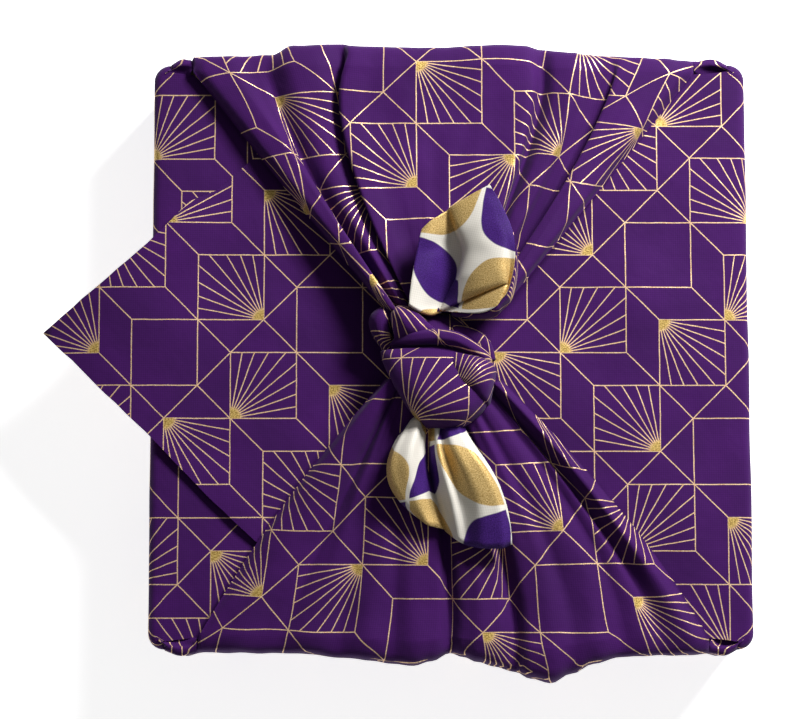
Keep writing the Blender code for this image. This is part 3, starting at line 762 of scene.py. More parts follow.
# %% The folds of the lower free end
SOUTH_END = (
    # root x, y, z, first x, y, z, second x, y, z, rim x, y, z
    (-16.9, -30.8, 62.0, -27.6, -49.7, 67.0, -26.3, -63.4, 66.0, -16.5, -74.3, 62.0),
    (-15.6, -31.4, 66.0, -25.6, -49.7, 72.2, -24.2, -63.2, 70.4, -14.6, -75.8, 64.5),
    (-13.8, -32.0, 69.0, -18.4, -48.9, 75.0, -17.9, -61.5, 71.6, -10.0, -79.7, 65.5),
    (-11.1, -32.0, 65.0, -13.4, -47.9, 69.0, -11.4, -59.4, 66.6, -6.2, -80.5, 63.4),
    (-9.2, -31.6, 58.0, -10.2, -47.7, 59.0, -8.2, -62.2, 61.0, -2.7, -81.3, 61.0),
    (-8.0, -32.0, 64.0, -7.9, -48.7, 67.6, -4.7, -63.0, 67.6, 0.4, -84.1, 63.5),
    (-5.8, -32.2, 67.0, -5.0, -48.7, 72.4, -1.0, -64.1, 71.6, 3.9, -86.8, 65.0),
    (-4.4, -32.1, 66.0, -2.8, -48.0, 69.6, 2.3, -63.2, 69.4, 7.5, -88.6, 64.6),
    (-0.9, -32.4, 68.5, 2.5, -47.7, 75.5, 10.3, -63.5, 75.0, 14.0, -89.8, 67.5),
    (2.2, -32.3, 68.0, 8.2, -46.8, 75.5, 17.4, -62.6, 74.5, 22.5, -89.8, 67.0),
    (4.6, -32.4, 64.0, 12.3, -47.3, 71.0, 21.5, -62.8, 71.0, 26.9, -87.7, 64.5),
)
END_ROWS = 34
END_STEPS = 5
# Where the end lies on the flat cloth: its middle, and its root
END_MIDDLE, END_ROOT = -6.0, -400.0


def south_end():
    ids = []
    for j in range(END_ROWS + 1):
        t = j / END_ROWS
        row = []
        for a, b in zip(SOUTH_END, SOUTH_END[1:]):
            for k in range(END_STEPS):
                share = k / END_STEPS
                from_west, from_east = along(a, t), along(b, t)
                x, y, _ = [lerp(w, e, share) for w, e in zip(from_west, from_east)]
                z = lerp(from_west[2], from_east[2], lerp(share, ease(share), 0.7))
                row.append(cloth.point(x, y, z + 0.3 * rough(x / 6, y / 6, 21) * (0.3 + t)))
        row.append(cloth.point(*along(SOUTH_END[-1], t)))
        ids.append(row)
    spots = cloth.points
    middle = len(ids[0]) // 2
    prints, v = [], END_ROOT
    for j, row in enumerate(ids):
        if j:
            v += math.dist(spots[ids[j - 1][middle]], spots[row[middle]])
        steps = [0.0]
        for p, q in zip(row, row[1:]):
            steps.append(steps[-1] + math.dist(spots[p], spots[q]))
        prints.append([(u - steps[middle] + END_MIDDLE, v) for u in steps])
    cloth.rows(ids, prints)


south_end()

# %% [markdown]
# ## The upper free end
# The northern end is a cup that leans back, with the corner of the cloth as its tip. Its left side slopes down
# into a deep valley, and its right side stands over the valley like a wave. Low on the right the cloth is
# folded on itself, which leaves a dark slit. Such a shape is easiest to read as rows from the tip down to the
# knot, each with the same nine places across. The outside of the cup shows as a wall below the rim.

# %% The rows of the upper free end
# Each row: x, y, z of the left rim, two places on the left side, the valley, the top of its wall, two places on
# the right side, the dip inside the rim and the right rim
CUP_ROWS = (
    (-12.9, 51.5, 78.5, -9.5, 55.0, 79.3, -5.7, 57.6, 79.0, -1.6, 60.4, 78.0, 0.9, 62.0, 80.0,
     7.0, 65.4, 82.0, 12.5, 68.3, 83.2, 15.0, 69.6, 83.6, 17.1, 70.7, 84.0),
    (-14.3, 46.4, 78.0, -9.5, 49.1, 78.3, -4.4, 51.7, 77.0, 0.3, 54.1, 74.5, 2.4, 53.9, 79.5,
     9.5, 57.5, 83.0, 16.2, 61.6, 84.2, 19.0, 63.1, 84.2, 20.9, 64.2, 84.0),
    (-15.4, 41.3, 77.5, -8.9, 43.4, 76.0, -2.5, 45.9, 72.7, 3.5, 48.1, 72.0, 5.0, 47.5, 79.0,
     11.6, 50.6, 83.2, 18.7, 53.8, 84.6, 22.1, 55.3, 84.4, 24.5, 56.7, 84.0),
    (-16.3, 37.0, 77.2, -8.9, 38.7, 75.4, -1.6, 41.0, 71.4, 5.0, 43.1, 70.5, 6.5, 42.4, 78.6,
     13.2, 44.6, 83.2, 20.8, 47.9, 85.0, 24.2, 49.5, 84.6, 26.8, 50.5, 84.0),
    (-17.0, 33.2, 77.0, -9.5, 34.2, 75.0, -2.2, 36.1, 70.7, 4.5, 38.1, 69.6, 5.9, 38.4, 78.0,
     13.7, 39.7, 82.8, 21.8, 42.2, 85.0, 25.5, 43.4, 84.0, 28.0, 44.3, 83.8),
    (-17.6, 29.8, 76.6, -10.2, 30.4, 74.6, -3.3, 31.9, 70.2, 3.1, 33.6, 69.0, 4.8, 34.1, 77.0,
     13.2, 35.1, 82.4, 21.8, 36.2, 84.6, 25.7, 37.6, 82.6, 28.4, 38.6, 83.4),
    (-18.1, 26.0, 76.2, -11.2, 26.2, 74.2, -4.8, 27.4, 69.6, 1.6, 29.3, 68.6, 3.5, 30.1, 76.0,
     12.4, 30.9, 82.0, 22.0, 31.6, 84.2, 25.5, 32.4, 81.6, 27.9, 33.1, 83.0),
    (-18.6, 22.2, 75.8, -12.7, 21.9, 73.8, -6.5, 22.5, 69.0, -0.2, 25.5, 68.4, 1.6, 26.6, 73.8,
     11.1, 27.0, 80.8, 22.2, 28.7, 83.6, 25.3, 29.3, 81.0, 27.3, 29.5, 82.8),
    (-18.7, 19.9, 75.6, -13.8, 18.5, 73.6, -7.6, 18.7, 68.6, -2.6, 20.7, 68.2, -1.2, 21.7, 70.4,
     9.5, 23.8, 79.4, 22.5, 27.3, 83.0, 25.1, 27.7, 80.6, 26.8, 27.6, 82.6),
    (-18.7, 18.6, 75.5, -14.2, 16.0, 73.6, -8.9, 14.8, 69.4, -5.2, 16.1, 68.0, -3.1, 16.8, 69.6,
     8.9, 21.3, 77.4, 22.6, 26.4, 82.2, 25.0, 26.7, 80.4, 26.6, 26.8, 82.4),
)
# The same nine places below the slit, where the folded cloth comes out again and rises to the lower rim
CUP_UNDER = (
    (-18.6, 18.4, 73.5, -14.1, 15.8, 72.4, -8.8, 14.7, 69.0, -5.2, 16.1, 67.0, -3.0, 17.2, 67.4,
     8.9, 22.3, 72.6, 22.4, 27.4, 78.2, 24.7, 26.5, 80.2, 26.4, 26.1, 82.2),
    (-18.3, 18.5, 70.0, -13.9, 15.9, 69.0, -8.6, 14.9, 66.0, -5.1, 16.0, 66.5, -1.4, 16.4, 69.0,
     10.4, 19.4, 76.6, 22.8, 24.5, 81.4, 24.3, 24.3, 80.8, 25.7, 24.2, 82.0),
    (-18.1, 18.8, 67.0, -13.7, 16.0, 66.0, -8.5, 15.0, 64.0, -5.0, 15.9, 66.0, -0.3, 15.4, 70.6,
     12.5, 13.8, 77.8, 19.1, 15.9, 80.4, 21.4, 18.2, 81.0, 24.6, 21.8, 81.8),
)
# The outside: x, y, z of the rim, then of the foot below it
CUP_WALL = (
    (26.8, 50.5, 84.0, 26.9, 50.5, 83.6),
    (28.0, 44.3, 83.8, 28.4, 44.5, 82.0),
    (28.4, 38.6, 83.4, 29.5, 39.6, 76.0),
    (27.9, 33.1, 83.0, 29.9, 34.8, 70.0),
    (27.3, 29.5, 82.8, 29.8, 31.2, 68.0),
    (26.6, 26.8, 82.4, 29.3, 28.1, 67.0),
    (25.7, 24.2, 82.0, 28.4, 24.5, 66.0),
    (24.6, 21.8, 81.8, 26.7, 20.2, 66.0),
    (21.4, 18.2, 81.0, 23.2, 16.8, 65.5),
    (19.1, 15.9, 80.4, 19.8, 13.8, 65.0),
    (12.5, 13.8, 77.8, 13.4, 13.1, 64.0),
    (6.2, 14.4, 74.4, 6.5, 13.7, 63.0),
    (-0.3, 15.4, 70.6, -0.1, 15.1, 62.0),
)
CUP_STEPS = 5
WALL_STEPS = 8
CORNER_OF_CLOTH = 495.0
# Where the outside of the cup starts on the flat cloth
WALL_PRINT = (60.0, 430.0)
print("rows of the cup:", len(CUP_ROWS) + len(CUP_UNDER))


# %% Make the upper free end
def north_end():
    down = rows_between(CUP_ROWS, CUP_STEPS)
    down += [[lerp(a, b, k / 3) for a, b in zip(CUP_ROWS[-1], CUP_UNDER[0])] for k in (1, 2)]
    down += rows_between(CUP_UNDER, CUP_STEPS)
    ids = []
    for row in down:
        across = rows_between([row[c:c + 3] for c in range(0, len(row), 3)], CUP_STEPS)
        ids.append([cloth.point(x, y, z + 0.35 * rough(x / 7, y / 7, 23)) for x, y, z in across])
    # The tip is a right angle of cloth, so the upper rim is laid out at 45 degrees
    solid = numpy.array([[cloth.points[p][:2] for p in row] for row in ids])
    rim = solid[0, -1] - solid[0, 0]
    turn = math.pi / 4 - math.atan2(rim[1], rim[0])
    turned = numpy.array([[math.cos(turn), math.sin(turn)], [-math.sin(turn), math.cos(turn)]])
    guess = (solid - solid[0, -1]) @ turned + (0.0, CORNER_OF_CLOTH)
    prints = flattened(ids, guess)
    cloth.rows(ids, prints)

    walls, wall_prints, run = [], [], 0.0
    for row in rows_between(CUP_WALL, CUP_STEPS):
        top, foot = Vector(row[:3]), Vector(row[3:])
        outward = Vector((foot.x - top.x, foot.y - top.y, 0.0))
        outward = outward.normalized() if outward.length > 0.01 else Vector((1.0, 0.0, 0.0))
        top += outward * 0.4
        middle = top.lerp(foot, 0.35) + outward * min(1.2, 0.1 * (foot - top).length)
        column = [through(top, middle, foot, k / WALL_STEPS) for k in range(WALL_STEPS + 1)]
        run += math.dist(column[0], cloth.points[walls[-1][0]]) if walls else 0.0
        walls.append([cloth.point(*place) for place in column])
        wall_prints.append([(WALL_PRINT[0] + run, WALL_PRINT[1] - (top - place).length) for place in column])
    cloth.rows(walls[::-1], wall_prints[::-1])


before = len(cloth.faces)
north_end()
print("faces of the upper end:", len(cloth.faces) - before)

# %% [markdown]
# ## The knot
# In the knot the gathered cloth becomes a rope that passes round itself. What shows are a few rounded bands
# that go under each other. Each band is swept through cross-sections that say where its left and right sides
# are, how high it lies and how deep it is, and it gets creases that run along it.

# %% The bands of the knot
KNOT_BANDS = {
    # left_x, left_y, right_x, right_y, z, half height
    "core": (
        (-14.0, 16.0, 2.0, 16.0, 57.0, 5.0),
        (-22.0, 10.0, 7.0, 10.0, 59.5, 7.5),
        (-26.0, 0.0, 11.0, 0.0, 62.0, 9.0),
        (-26.0, -10.0, 11.0, -10.0, 62.0, 9.0),
        (-19.0, -24.0, 8.0, -24.0, 60.0, 7.0),
        (-14.0, -31.0, 4.0, -31.0, 59.0, 5.0),
    ),
    "front": (
        (-31.0, -1.6, 5.0, 0.2, 65.0, 8.0),
        (-30.6, -4.6, 13.0, -4.6, 66.0, 10.4),
        (-29.0, -9.5, 16.4, -9.6, 66.8, 11.8),
        (-26.4, -15.0, 17.2, -15.4, 67.4, 12.4),
        (-22.8, -21.5, 17.0, -22.0, 67.8, 12.8),
        (-19.0, -28.0, 14.4, -28.6, 67.4, 12.6),
        (-14.6, -33.2, 8.6, -34.0, 66.0, 10.8),
        (-10.4, -36.4, 2.8, -37.2, 63.4, 6.8),
    ),
    "fold": (
        (-10.0, -0.6, -8.0, -12.0, 60.0, 7.0),
        (-2.0, -1.4, -2.6, -15.6, 65.6, 9.6),
        (6.0, -3.2, 4.0, -19.4, 68.8, 11.4),
        (13.0, -4.6, 10.6, -23.2, 69.8, 12.0),
        (18.6, -7.2, 15.4, -26.4, 67.4, 10.4),
        (20.6, -10.6, 17.4, -26.4, 62.0, 7.0),
    ),
    "arch": (
        (-28.0, 0.6, -24.0, 6.0, 62.0, 5.0),
        (-19.0, 0.0, -17.0, 7.0, 68.6, 6.6),
        (-6.6, 0.2, -6.2, 7.6, 70.6, 6.8),
        (2.0, -1.2, 3.6, 6.2, 70.6, 6.8),
        (8.4, -4.0, 11.6, 1.4, 69.0, 6.6),
        (13.6, -7.6, 17.6, -3.6, 65.6, 6.0),
        (15.4, -12.0, 19.4, -10.0, 61.0, 5.0),
    ),
    "lobe": (
        (-25.4, 0.0, -5.0, 1.0, 60.0, 7.0),
        (-25.4, 5.0, -6.0, 6.6, 65.6, 8.8),
        (-26.6, 10.4, -10.4, 11.2, 67.4, 9.0),
        (-27.2, 14.4, -14.6, 15.2, 67.2, 8.2),
        (-25.8, 17.6, -18.2, 17.8, 66.0, 6.0),
        (-23.6, 19.2, -21.4, 19.2, 64.6, 2.6),
    ),
    "loop": (
        (-30.0, -1.0, -24.0, 0.0, 58.0, 5.0),
        (-35.0, 6.0, -26.0, 5.0, 61.5, 6.2),
        (-36.6, 13.0, -27.0, 10.0, 63.4, 6.6),
        (-32.4, 18.2, -25.6, 12.6, 63.2, 6.2),
        (-26.0, 18.6, -22.6, 13.6, 61.0, 5.2),
    ),
    "behind": (
        (-3.0, 4.0, -2.6, 10.0, 60.0, 5.0),
        (2.6, 3.6, 4.0, 10.6, 62.6, 6.0),
        (8.6, 1.6, 12.0, 8.2, 62.4, 6.0),
        (13.0, -2.0, 18.0, 3.4, 60.0, 5.6),
        (15.0, -7.0, 20.6, -4.4, 57.6, 5.0),
    ),
}
BAND_SIDES = 36
BAND_STEPS = 6
CREASED = (
    # band, depth of its creases
    ("core", 0.1), ("front", 0.045), ("fold", 0.06), ("arch", 0.07),
    ("lobe", 0.08), ("loop", 0.1), ("behind", 0.1),
)


def knot_band(name, rows, seed, crease):
    """A rounded band of gathered cloth, swept through its cross-sections."""
    ids, prints = [], []
    run, crown_before = 0.0, None
    made = rows_between(rows, BAND_STEPS)
    for j, (lx, ly, rx, ry, z, high) in enumerate(made):
        mid = ((lx + rx) / 2, (ly + ry) / 2)
        half = ((rx - lx) / 2, (ry - ly) / 2)
        crown = (mid[0], mid[1], z + high)
        if crown_before:
            run += math.dist(crown, crown_before)
        crown_before = crown
        row = []
        for k in range(BAND_SIDES):
            angle = 2 * math.pi * k / BAND_SIDES
            c, s = math.cos(angle), math.sin(angle)
            wide = math.copysign(abs(c) ** 0.86, c)
            tall = math.copysign(abs(s) ** 0.78, s)
            size = 1 + crease * noise.noise(Vector((2.6 * c, 2.6 * s, 0.055 * run + 5 * seed)))
            size += 0.5 * crease * noise.noise(Vector((6 * c, 6 * s, 0.04 * run + 9 * seed)))
            x, y = mid[0] + half[0] * wide * size, mid[1] + half[1] * wide * size
            row.append(cloth.point(x, y, z + high * tall * size))
        row.append(row[0])
        ids.append(row)
        flat, u = [0.0], 0.0
        for p, q in zip(row, row[1:]):
            u += math.dist(cloth.points[p], cloth.points[q])
            flat.append(u)
        # Each band starts at a place of its own on the print
        crown_u = flat[BAND_SIDES // 4]
        prints.append([(mid[0] + 37 * seed - (f - crown_u), 300 - run + 23 * seed) for f in flat])
    top = BAND_SIDES // 4
    corner, onward, round_it = (Vector(cloth.points[p]) for p in (ids[3][top], ids[4][top], ids[3][top + 1]))
    cloth.rows(ids, prints, turned=(round_it - corner).cross(onward - corner).z < 0)


before = len(cloth.faces)
cloth.slot = TIGHT_FOLDS
for seed, (name, crease) in enumerate(CREASED):
    knot_band(name, KNOT_BANDS[name], seed, crease)
print("faces of the knot:", len(cloth.faces) - before)

# %% [markdown]
# ## From numbers to an object
# The points and faces become one mesh, with the places on the flat cloth as its UV map. A Solidify modifier
# gives it the cloth's thickness. It also gives the inner side the second material, the back of the cloth.

# %% Make the cloth's object
def cloth_object(name, sheet):
    mesh = bmesh.new()
    verts = [mesh.verts.new([c * MM for c in p]) for p in sheet.points]
    layer = mesh.loops.layers.uv.new("flat_cloth")
    for ids, flats, slot in zip(sheet.faces, sheet.prints, sheet.slots):
        face = mesh.faces.new([verts[i] for i in ids])
        face.smooth = True
        face.material_index = slot
        for loop, flat in zip(face.loops, flats):
            loop[layer].uv = (flat[0] * MM, flat[1] * MM)
    loose = [v for v in mesh.verts if not v.link_faces]
    bmesh.ops.delete(mesh, geom=loose, context="VERTS")
    data = bpy.data.meshes.new(name)
    mesh.to_mesh(data)
    mesh.free()
    thing = bpy.data.objects.new(name, data)
    bpy.context.scene.collection.objects.link(thing)
    return thing


furoshiki = cloth_object("furoshiki", cloth)
thickness = furoshiki.modifiers.new("cotton_thickness", "SOLIDIFY")
thickness.thickness = THICK * MM
thickness.offset = -1.0
thickness.material_offset = 1
print("furoshiki:", len(furoshiki.data.polygons), "faces before it gets its thickness")

# %% [markdown]
# ## Colours and nodes
# Colours are written as sRGB hex values, as picked from cloth under daylight, and one function turns them to
# the linear values that Blender's nodes use. A second function adds one node with its settings and links. A
# third uses it to draw a print, which is mostly sums: it goes through a table with one sum a row.

# %% Helpers for materials
def linear(hex_colour):
    channels = [int(hex_colour[i:i + 2], 16) / 255 for i in (1, 3, 5)]
    return tuple(c / 12.92 if c <= 0.04045 else ((c + 0.055) / 1.055) ** 2.4 for c in channels) + (1.0,)


def add_node(tree, kind, settings=None, inputs=None):
    """Adds a node. settings are its own. inputs are values or other nodes' outputs, by name or number."""
    node = tree.nodes.new("ShaderNode" + kind)
    for key, value in (settings or {}).items():
        setattr(node, key, value)
    for key, value in (inputs or {}).items():
        if isinstance(value, bpy.types.NodeSocket):
            tree.links.new(value, node.inputs[key])
        else:
            node.inputs[key].default_value = value
    return node


def draw_print(tree, sums, scale, reach):
    """Adds a drawing's sums, as nodes. Its lines waver a little, by reach, as a print on cotton does."""
    place = add_node(tree, "UVMap", {"uv_map": "flat_cloth"}).outputs[0]
    waver = add_node(tree, "TexNoise", {}, {"Vector": place, "Scale": scale[0], "Detail": scale[1]})
    shift = add_node(tree, "VectorMath", {"operation": "MULTIPLY_ADD"}, {
        0: waver.outputs["Color"], 1: (reach, reach, 0.0), 2: place,
    })
    split = add_node(tree, "SeparateXYZ", {}, {0: shift.outputs[0]})
    known = {"u": split.outputs[0], "v": split.outputs[1]}
    for name, operation, *terms in sums:
        inputs = {i: known[t] if isinstance(t, str) else t for i, t in enumerate(terms)}
        known[name] = add_node(tree, "Math", {"operation": operation}, inputs).outputs[0]
    return place, known


def new_material(name):
    made = bpy.data.materials.new(name)
    made.use_nodes = True
    made.node_tree.nodes.clear()
    return made, made.node_tree


print("deep purple in linear light:", linear("#401b5f"))

# %% [markdown]
# ## The weave
# Plain weave is threads over and under in both directions. Here a thread is about 0.35 mm, too fine for the
# picture, so it is drawn at 0.7 mm, which still reads as a fine cotton. The threads run along the cut edges,
# and those lie at 45 degrees to the box.

# %% Plain weave
THREAD = 0.7 * MM


def weave(tree, place):
    """A plain weave, from 0 in the gaps to 1 on a thread's back."""
    turned = add_node(tree, "Mapping", {}, {
        "Vector": place, "Rotation": (0.0, 0.0, math.pi / 4),
        "Scale": (math.pi / THREAD, math.pi / THREAD, 1.0),
    })
    waves = add_node(tree, "VectorMath", {"operation": "SINE"}, {0: turned.outputs[0]})
    split = add_node(tree, "SeparateXYZ", {}, {0: waves.outputs[0]})
    over = add_node(tree, "Math", {"operation": "MULTIPLY"}, {0: split.outputs[0], 1: split.outputs[1]})
    return add_node(tree, "MapRange", {}, {"Value": over.outputs[0], "From Min": -1.0, "From Max": 1.0})


# %% [markdown]
# ## The face: purple cotton printed with metallic ink
# The face of the cloth is a tightly woven cotton dyed deep purple. Over it a metallic ink is screen printed
# in fine lines. The drawing is a general geometric one: a tiling of squares and slanted tiles that reads as
# a stack of cubes, with rays that fan out across some of the squares. Its squares are 30 mm wide and its lines
# about half a millimetre. The sums find the tile that a point is in, then its distance to the nearest line.
# Where rays start, the ink runs together, and a smooth minimum draws that.

# %% The drawing of the face
HALF_SQUARE = 15.0 * MM
LINE_HALF = 0.014
HUB = 0.27
RAY_TURN = math.radians(10)
FACE_SUMS = (
    # the tile's place in the tiling, and the point's place in the tile
    ("x", "DIVIDE", "u", HALF_SQUARE), ("y", "DIVIDE", "v", HALF_SQUARE),
    ("x3", "MULTIPLY", "x", 3.0), ("y3", "MULTIPLY", "y", 3.0),
    ("a8", "SUBTRACT", "x3", "y"), ("b8", "SUBTRACT", "y3", "x"),
    ("a", "DIVIDE", "a8", 8.0), ("b", "DIVIDE", "b8", 8.0),
    ("i", "FLOOR", "a"), ("j", "FLOOR", "b"),
    ("i3j", "MULTIPLY_ADD", "i", 3.0, "j"), ("ij3", "MULTIPLY_ADD", "j", 3.0, "i"),
    ("px", "SUBTRACT", "x", "i3j"), ("py", "SUBTRACT", "y", "ij3"),
    # distance to the outlines of the three squares that reach into the tile
    ("x1", "SUBTRACT", "px", 1.0), ("y1", "SUBTRACT", "py", 1.0),
    ("x4", "SUBTRACT", "px", 4.0), ("y2", "SUBTRACT", "py", 2.0),
    ("x2", "SUBTRACT", "px", 2.0), ("y4", "SUBTRACT", "py", 4.0),
    ("ax1", "ABSOLUTE", "x1"), ("ay1", "ABSOLUTE", "y1"), ("ax4", "ABSOLUTE", "x4"),
    ("ay2", "ABSOLUTE", "y2"), ("ax2", "ABSOLUTE", "x2"), ("ay4", "ABSOLUTE", "y4"),
    ("m0", "MAXIMUM", "ax1", "ay1"), ("m1", "MAXIMUM", "ax4", "ay2"), ("m2", "MAXIMUM", "ax2", "ay4"),
    ("n0", "SUBTRACT", "m0", 1.0), ("n1", "SUBTRACT", "m1", 1.0), ("n2", "SUBTRACT", "m2", 1.0),
    ("r0", "ABSOLUTE", "n0"), ("r1", "ABSOLUTE", "n1"), ("r2", "ABSOLUTE", "n2"),
    # distance to the slanted edge between squares, and to the line across it in every second tile
    ("slant", "SUBTRACT", "px", "py"), ("slant_a", "ABSOLUTE", "slant"),
    ("slant_d", "MULTIPLY", "slant_a", 0.7071),
    ("sum", "ADD", "px", "py"), ("past", "SUBTRACT", 4.0, "sum"), ("slant_line", "MAXIMUM", "slant_d", "past"),
    ("past_a", "ABSOLUTE", "past"), ("cross_d", "MULTIPLY", "past_a", 0.7071),
    ("i_j", "SUBTRACT", "i", "j"), ("odd", "FLOORED_MODULO", "i_j", 2.0),
    ("cross_line", "MULTIPLY_ADD", "odd", 9.0, "cross_d"),
    ("e1", "MINIMUM", "r0", "r1"), ("e2", "MINIMUM", "e1", "r2"),
    ("e3", "MINIMUM", "e2", "slant_line"), ("edges", "MINIMUM", "e3", "cross_line"),
    # which square the point is in, and its place there
    ("x_gt", "GREATER_THAN", "px", 3.0), ("y_gt", "GREATER_THAN", "py", 3.0),
    ("y_lt", "SUBTRACT", 1.0, "y_gt"), ("x_lt", "SUBTRACT", 1.0, "x_gt"),
    ("in1", "MULTIPLY", "x_gt", "y_lt"), ("in2", "MULTIPLY", "y_gt", "x_lt"),
    ("x_lt2", "LESS_THAN", "px", 2.0), ("y_lt2", "LESS_THAN", "py", 2.0), ("in0", "MULTIPLY", "x_lt2", "y_lt2"),
    ("in01", "ADD", "in0", "in1"), ("inside", "ADD", "in01", "in2"),
    ("back_x", "MULTIPLY_ADD", "in1", 3.0, "in2"), ("back_y", "MULTIPLY_ADD", "in2", 3.0, "in1"),
    ("qx", "SUBTRACT", "px", "back_x"), ("qy", "SUBTRACT", "py", "back_y"),
    # which of four kinds the square is: three have their rays start in one of its corners, one is plain
    ("si", "ADD", "i", "in1"), ("sj", "ADD", "j", "in2"), ("s", "MULTIPLY_ADD", "sj", 2.0, "si"),
    ("kind", "FLOORED_MODULO", "s", 4.0),
    ("k1", "COMPARE", "kind", 1.0, 0.1), ("k2", "COMPARE", "kind", 2.0, 0.1),
    ("k3", "COMPARE", "kind", 3.0, 0.1),
    ("flip_x", "ADD", "k1", "k2"), ("cx", "SUBTRACT", "qx", 1.0), ("cy", "SUBTRACT", "qy", 1.0),
    ("turn_x", "MULTIPLY_ADD", "flip_x", -2.0, 1.0), ("turn_y", "MULTIPLY_ADD", "k1", -2.0, 1.0),
    ("fx", "MULTIPLY_ADD", "cx", "turn_x", 1.0), ("fy", "MULTIPLY_ADD", "cy", "turn_y", 1.0),
    # distance to the nearest ray
    ("fx2", "MULTIPLY", "fx", "fx"), ("f2", "MULTIPLY_ADD", "fy", "fy", "fx2"), ("far", "SQRT", "f2"),
    ("turn", "ARCTAN2", "fy", "fx"), ("rays", "DIVIDE", "turn", RAY_TURN), ("rays_half", "ADD", "rays", 0.5),
    ("part", "FRACT", "rays_half"), ("off", "SUBTRACT", "part", 0.5), ("off_a", "ABSOLUTE", "off"),
    ("off_turn", "MULTIPLY", "off_a", RAY_TURN), ("ray_d", "MULTIPLY", "off_turn", "far"),
    ("outside", "SUBTRACT", 1.0, "inside"), ("no_rays", "ADD", "outside", "k3"),
    ("hub_d", "SUBTRACT", "far", HUB), ("hub_or_ray", "SMOOTH_MIN", "ray_d", "hub_d", 0.16),
    ("ray_line", "MULTIPLY_ADD", "no_rays", 9.0, "hub_or_ray"),
    ("hub_line", "MULTIPLY_ADD", "no_rays", 9.0, "hub_d"),
    ("drawn", "MINIMUM", "edges", "ray_line"),
)
print("sums in the drawing:", len(FACE_SUMS))


# %% Printed purple cotton
def printed_cotton():
    material, tree = new_material("purple_cotton_with_metallic_ink")
    place, known = draw_print(tree, FACE_SUMS, (90.0, 2.0), 0.4 * MM)
    grain = add_node(tree, "TexNoise", {}, {"Vector": place, "Scale": 2600.0, "Detail": 2.0})
    worn = add_node(tree, "Math", {"operation": "MULTIPLY_ADD"}, {
        0: grain.outputs["Fac"], 1: 0.016, 2: known["drawn"],
    })
    ink = add_node(tree, "MapRange", {"interpolation_type": "SMOOTHSTEP"}, {
        "Value": worn.outputs[0], "From Min": LINE_HALF + 0.002, "From Max": LINE_HALF + 0.016,
        "To Min": 1.0, "To Max": 0.0,
    })

    threads = weave(tree, place)
    cloudy = add_node(tree, "TexNoise", {}, {"Vector": place, "Scale": 28.0, "Detail": 4.0})
    purple = add_node(tree, "Mix", {"data_type": "RGBA"}, {
        "Factor": cloudy.outputs["Fac"], "A": linear("#32084a"), "B": linear("#4a0e69"),
    })
    lit = add_node(tree, "Mix", {"data_type": "RGBA", "blend_type": "MULTIPLY"}, {
        "Factor": 0.25, "A": purple.outputs["Result"], "B": threads.outputs[0],
    })
    speck = add_node(tree, "TexNoise", {}, {"Vector": place, "Scale": 1500.0, "Detail": 2.0, "Roughness": 0.8})
    grains = add_node(tree, "MapRange", {}, {"Value": speck.outputs["Fac"], "From Min": 0.36, "From Max": 0.62})
    solid_gold = add_node(tree, "Mix", {"data_type": "RGBA"}, {
        "Factor": grains.outputs["Result"], "A": linear("#8f6a2c"), "B": linear("#efcf7d"),
    })
    line_gold = add_node(tree, "Mix", {"data_type": "RGBA"}, {
        "Factor": grains.outputs["Result"], "A": linear("#e0ac74"), "B": linear("#ffe0ba"),
    })
    in_hub = add_node(tree, "MapRange", {}, {
        "Value": known["hub_line"], "From Min": 0.0, "From Max": 0.12, "To Min": 1.0, "To Max": 0.0,
    })
    gold = add_node(tree, "Mix", {"data_type": "RGBA"}, {
        "Factor": in_hub.outputs["Result"], "A": line_gold.outputs["Result"],
        "B": solid_gold.outputs["Result"],
    })
    colour = add_node(tree, "Mix", {"data_type": "RGBA"}, {
        "Factor": ink.outputs["Result"], "A": lit.outputs["Result"], "B": gold.outputs["Result"],
    })
    metal = add_node(tree, "Math", {"operation": "MULTIPLY"}, {0: ink.outputs["Result"], 1: 0.4})
    dull = add_node(tree, "MapRange", {}, {"Value": ink.outputs["Result"], "To Min": 0.78, "To Max": 0.42})

    creases = add_node(tree, "TexNoise", {}, {"Vector": place, "Scale": 75.0, "Detail": 5.0})
    raised = add_node(tree, "Math", {"operation": "MULTIPLY"}, {0: threads.outputs[0], 1: 0.04 * MM})
    soft = add_node(tree, "Math", {"operation": "MULTIPLY_ADD"}, {
        0: creases.outputs["Fac"], 1: 0.9 * MM, 2: raised.outputs[0],
    })
    bump = add_node(tree, "Bump", {}, {"Strength": 0.7, "Distance": 1.0, "Height": soft.outputs[0]})
    shader = add_node(tree, "BsdfPrincipled", {}, {
        "Base Color": colour.outputs["Result"], "Metallic": metal.outputs[0],
        "Roughness": dull.outputs["Result"], "Normal": bump.outputs[0], "Sheen Weight": 0.06,
        "Sheen Roughness": 0.5, "IOR": 1.47, "Specular IOR Level": 0.19,
    })
    add_node(tree, "OutputMaterial", {}, {"Surface": shader.outputs[0]})
    return material


# %% [markdown]
# ## The back: white cotton with purple and gold leaves
# The back is printed too: plump leaves in matt purple and sparkling gold, set crosswise on white so that they
# meet at their tips. Where four tips meet, the white shows as a small star.

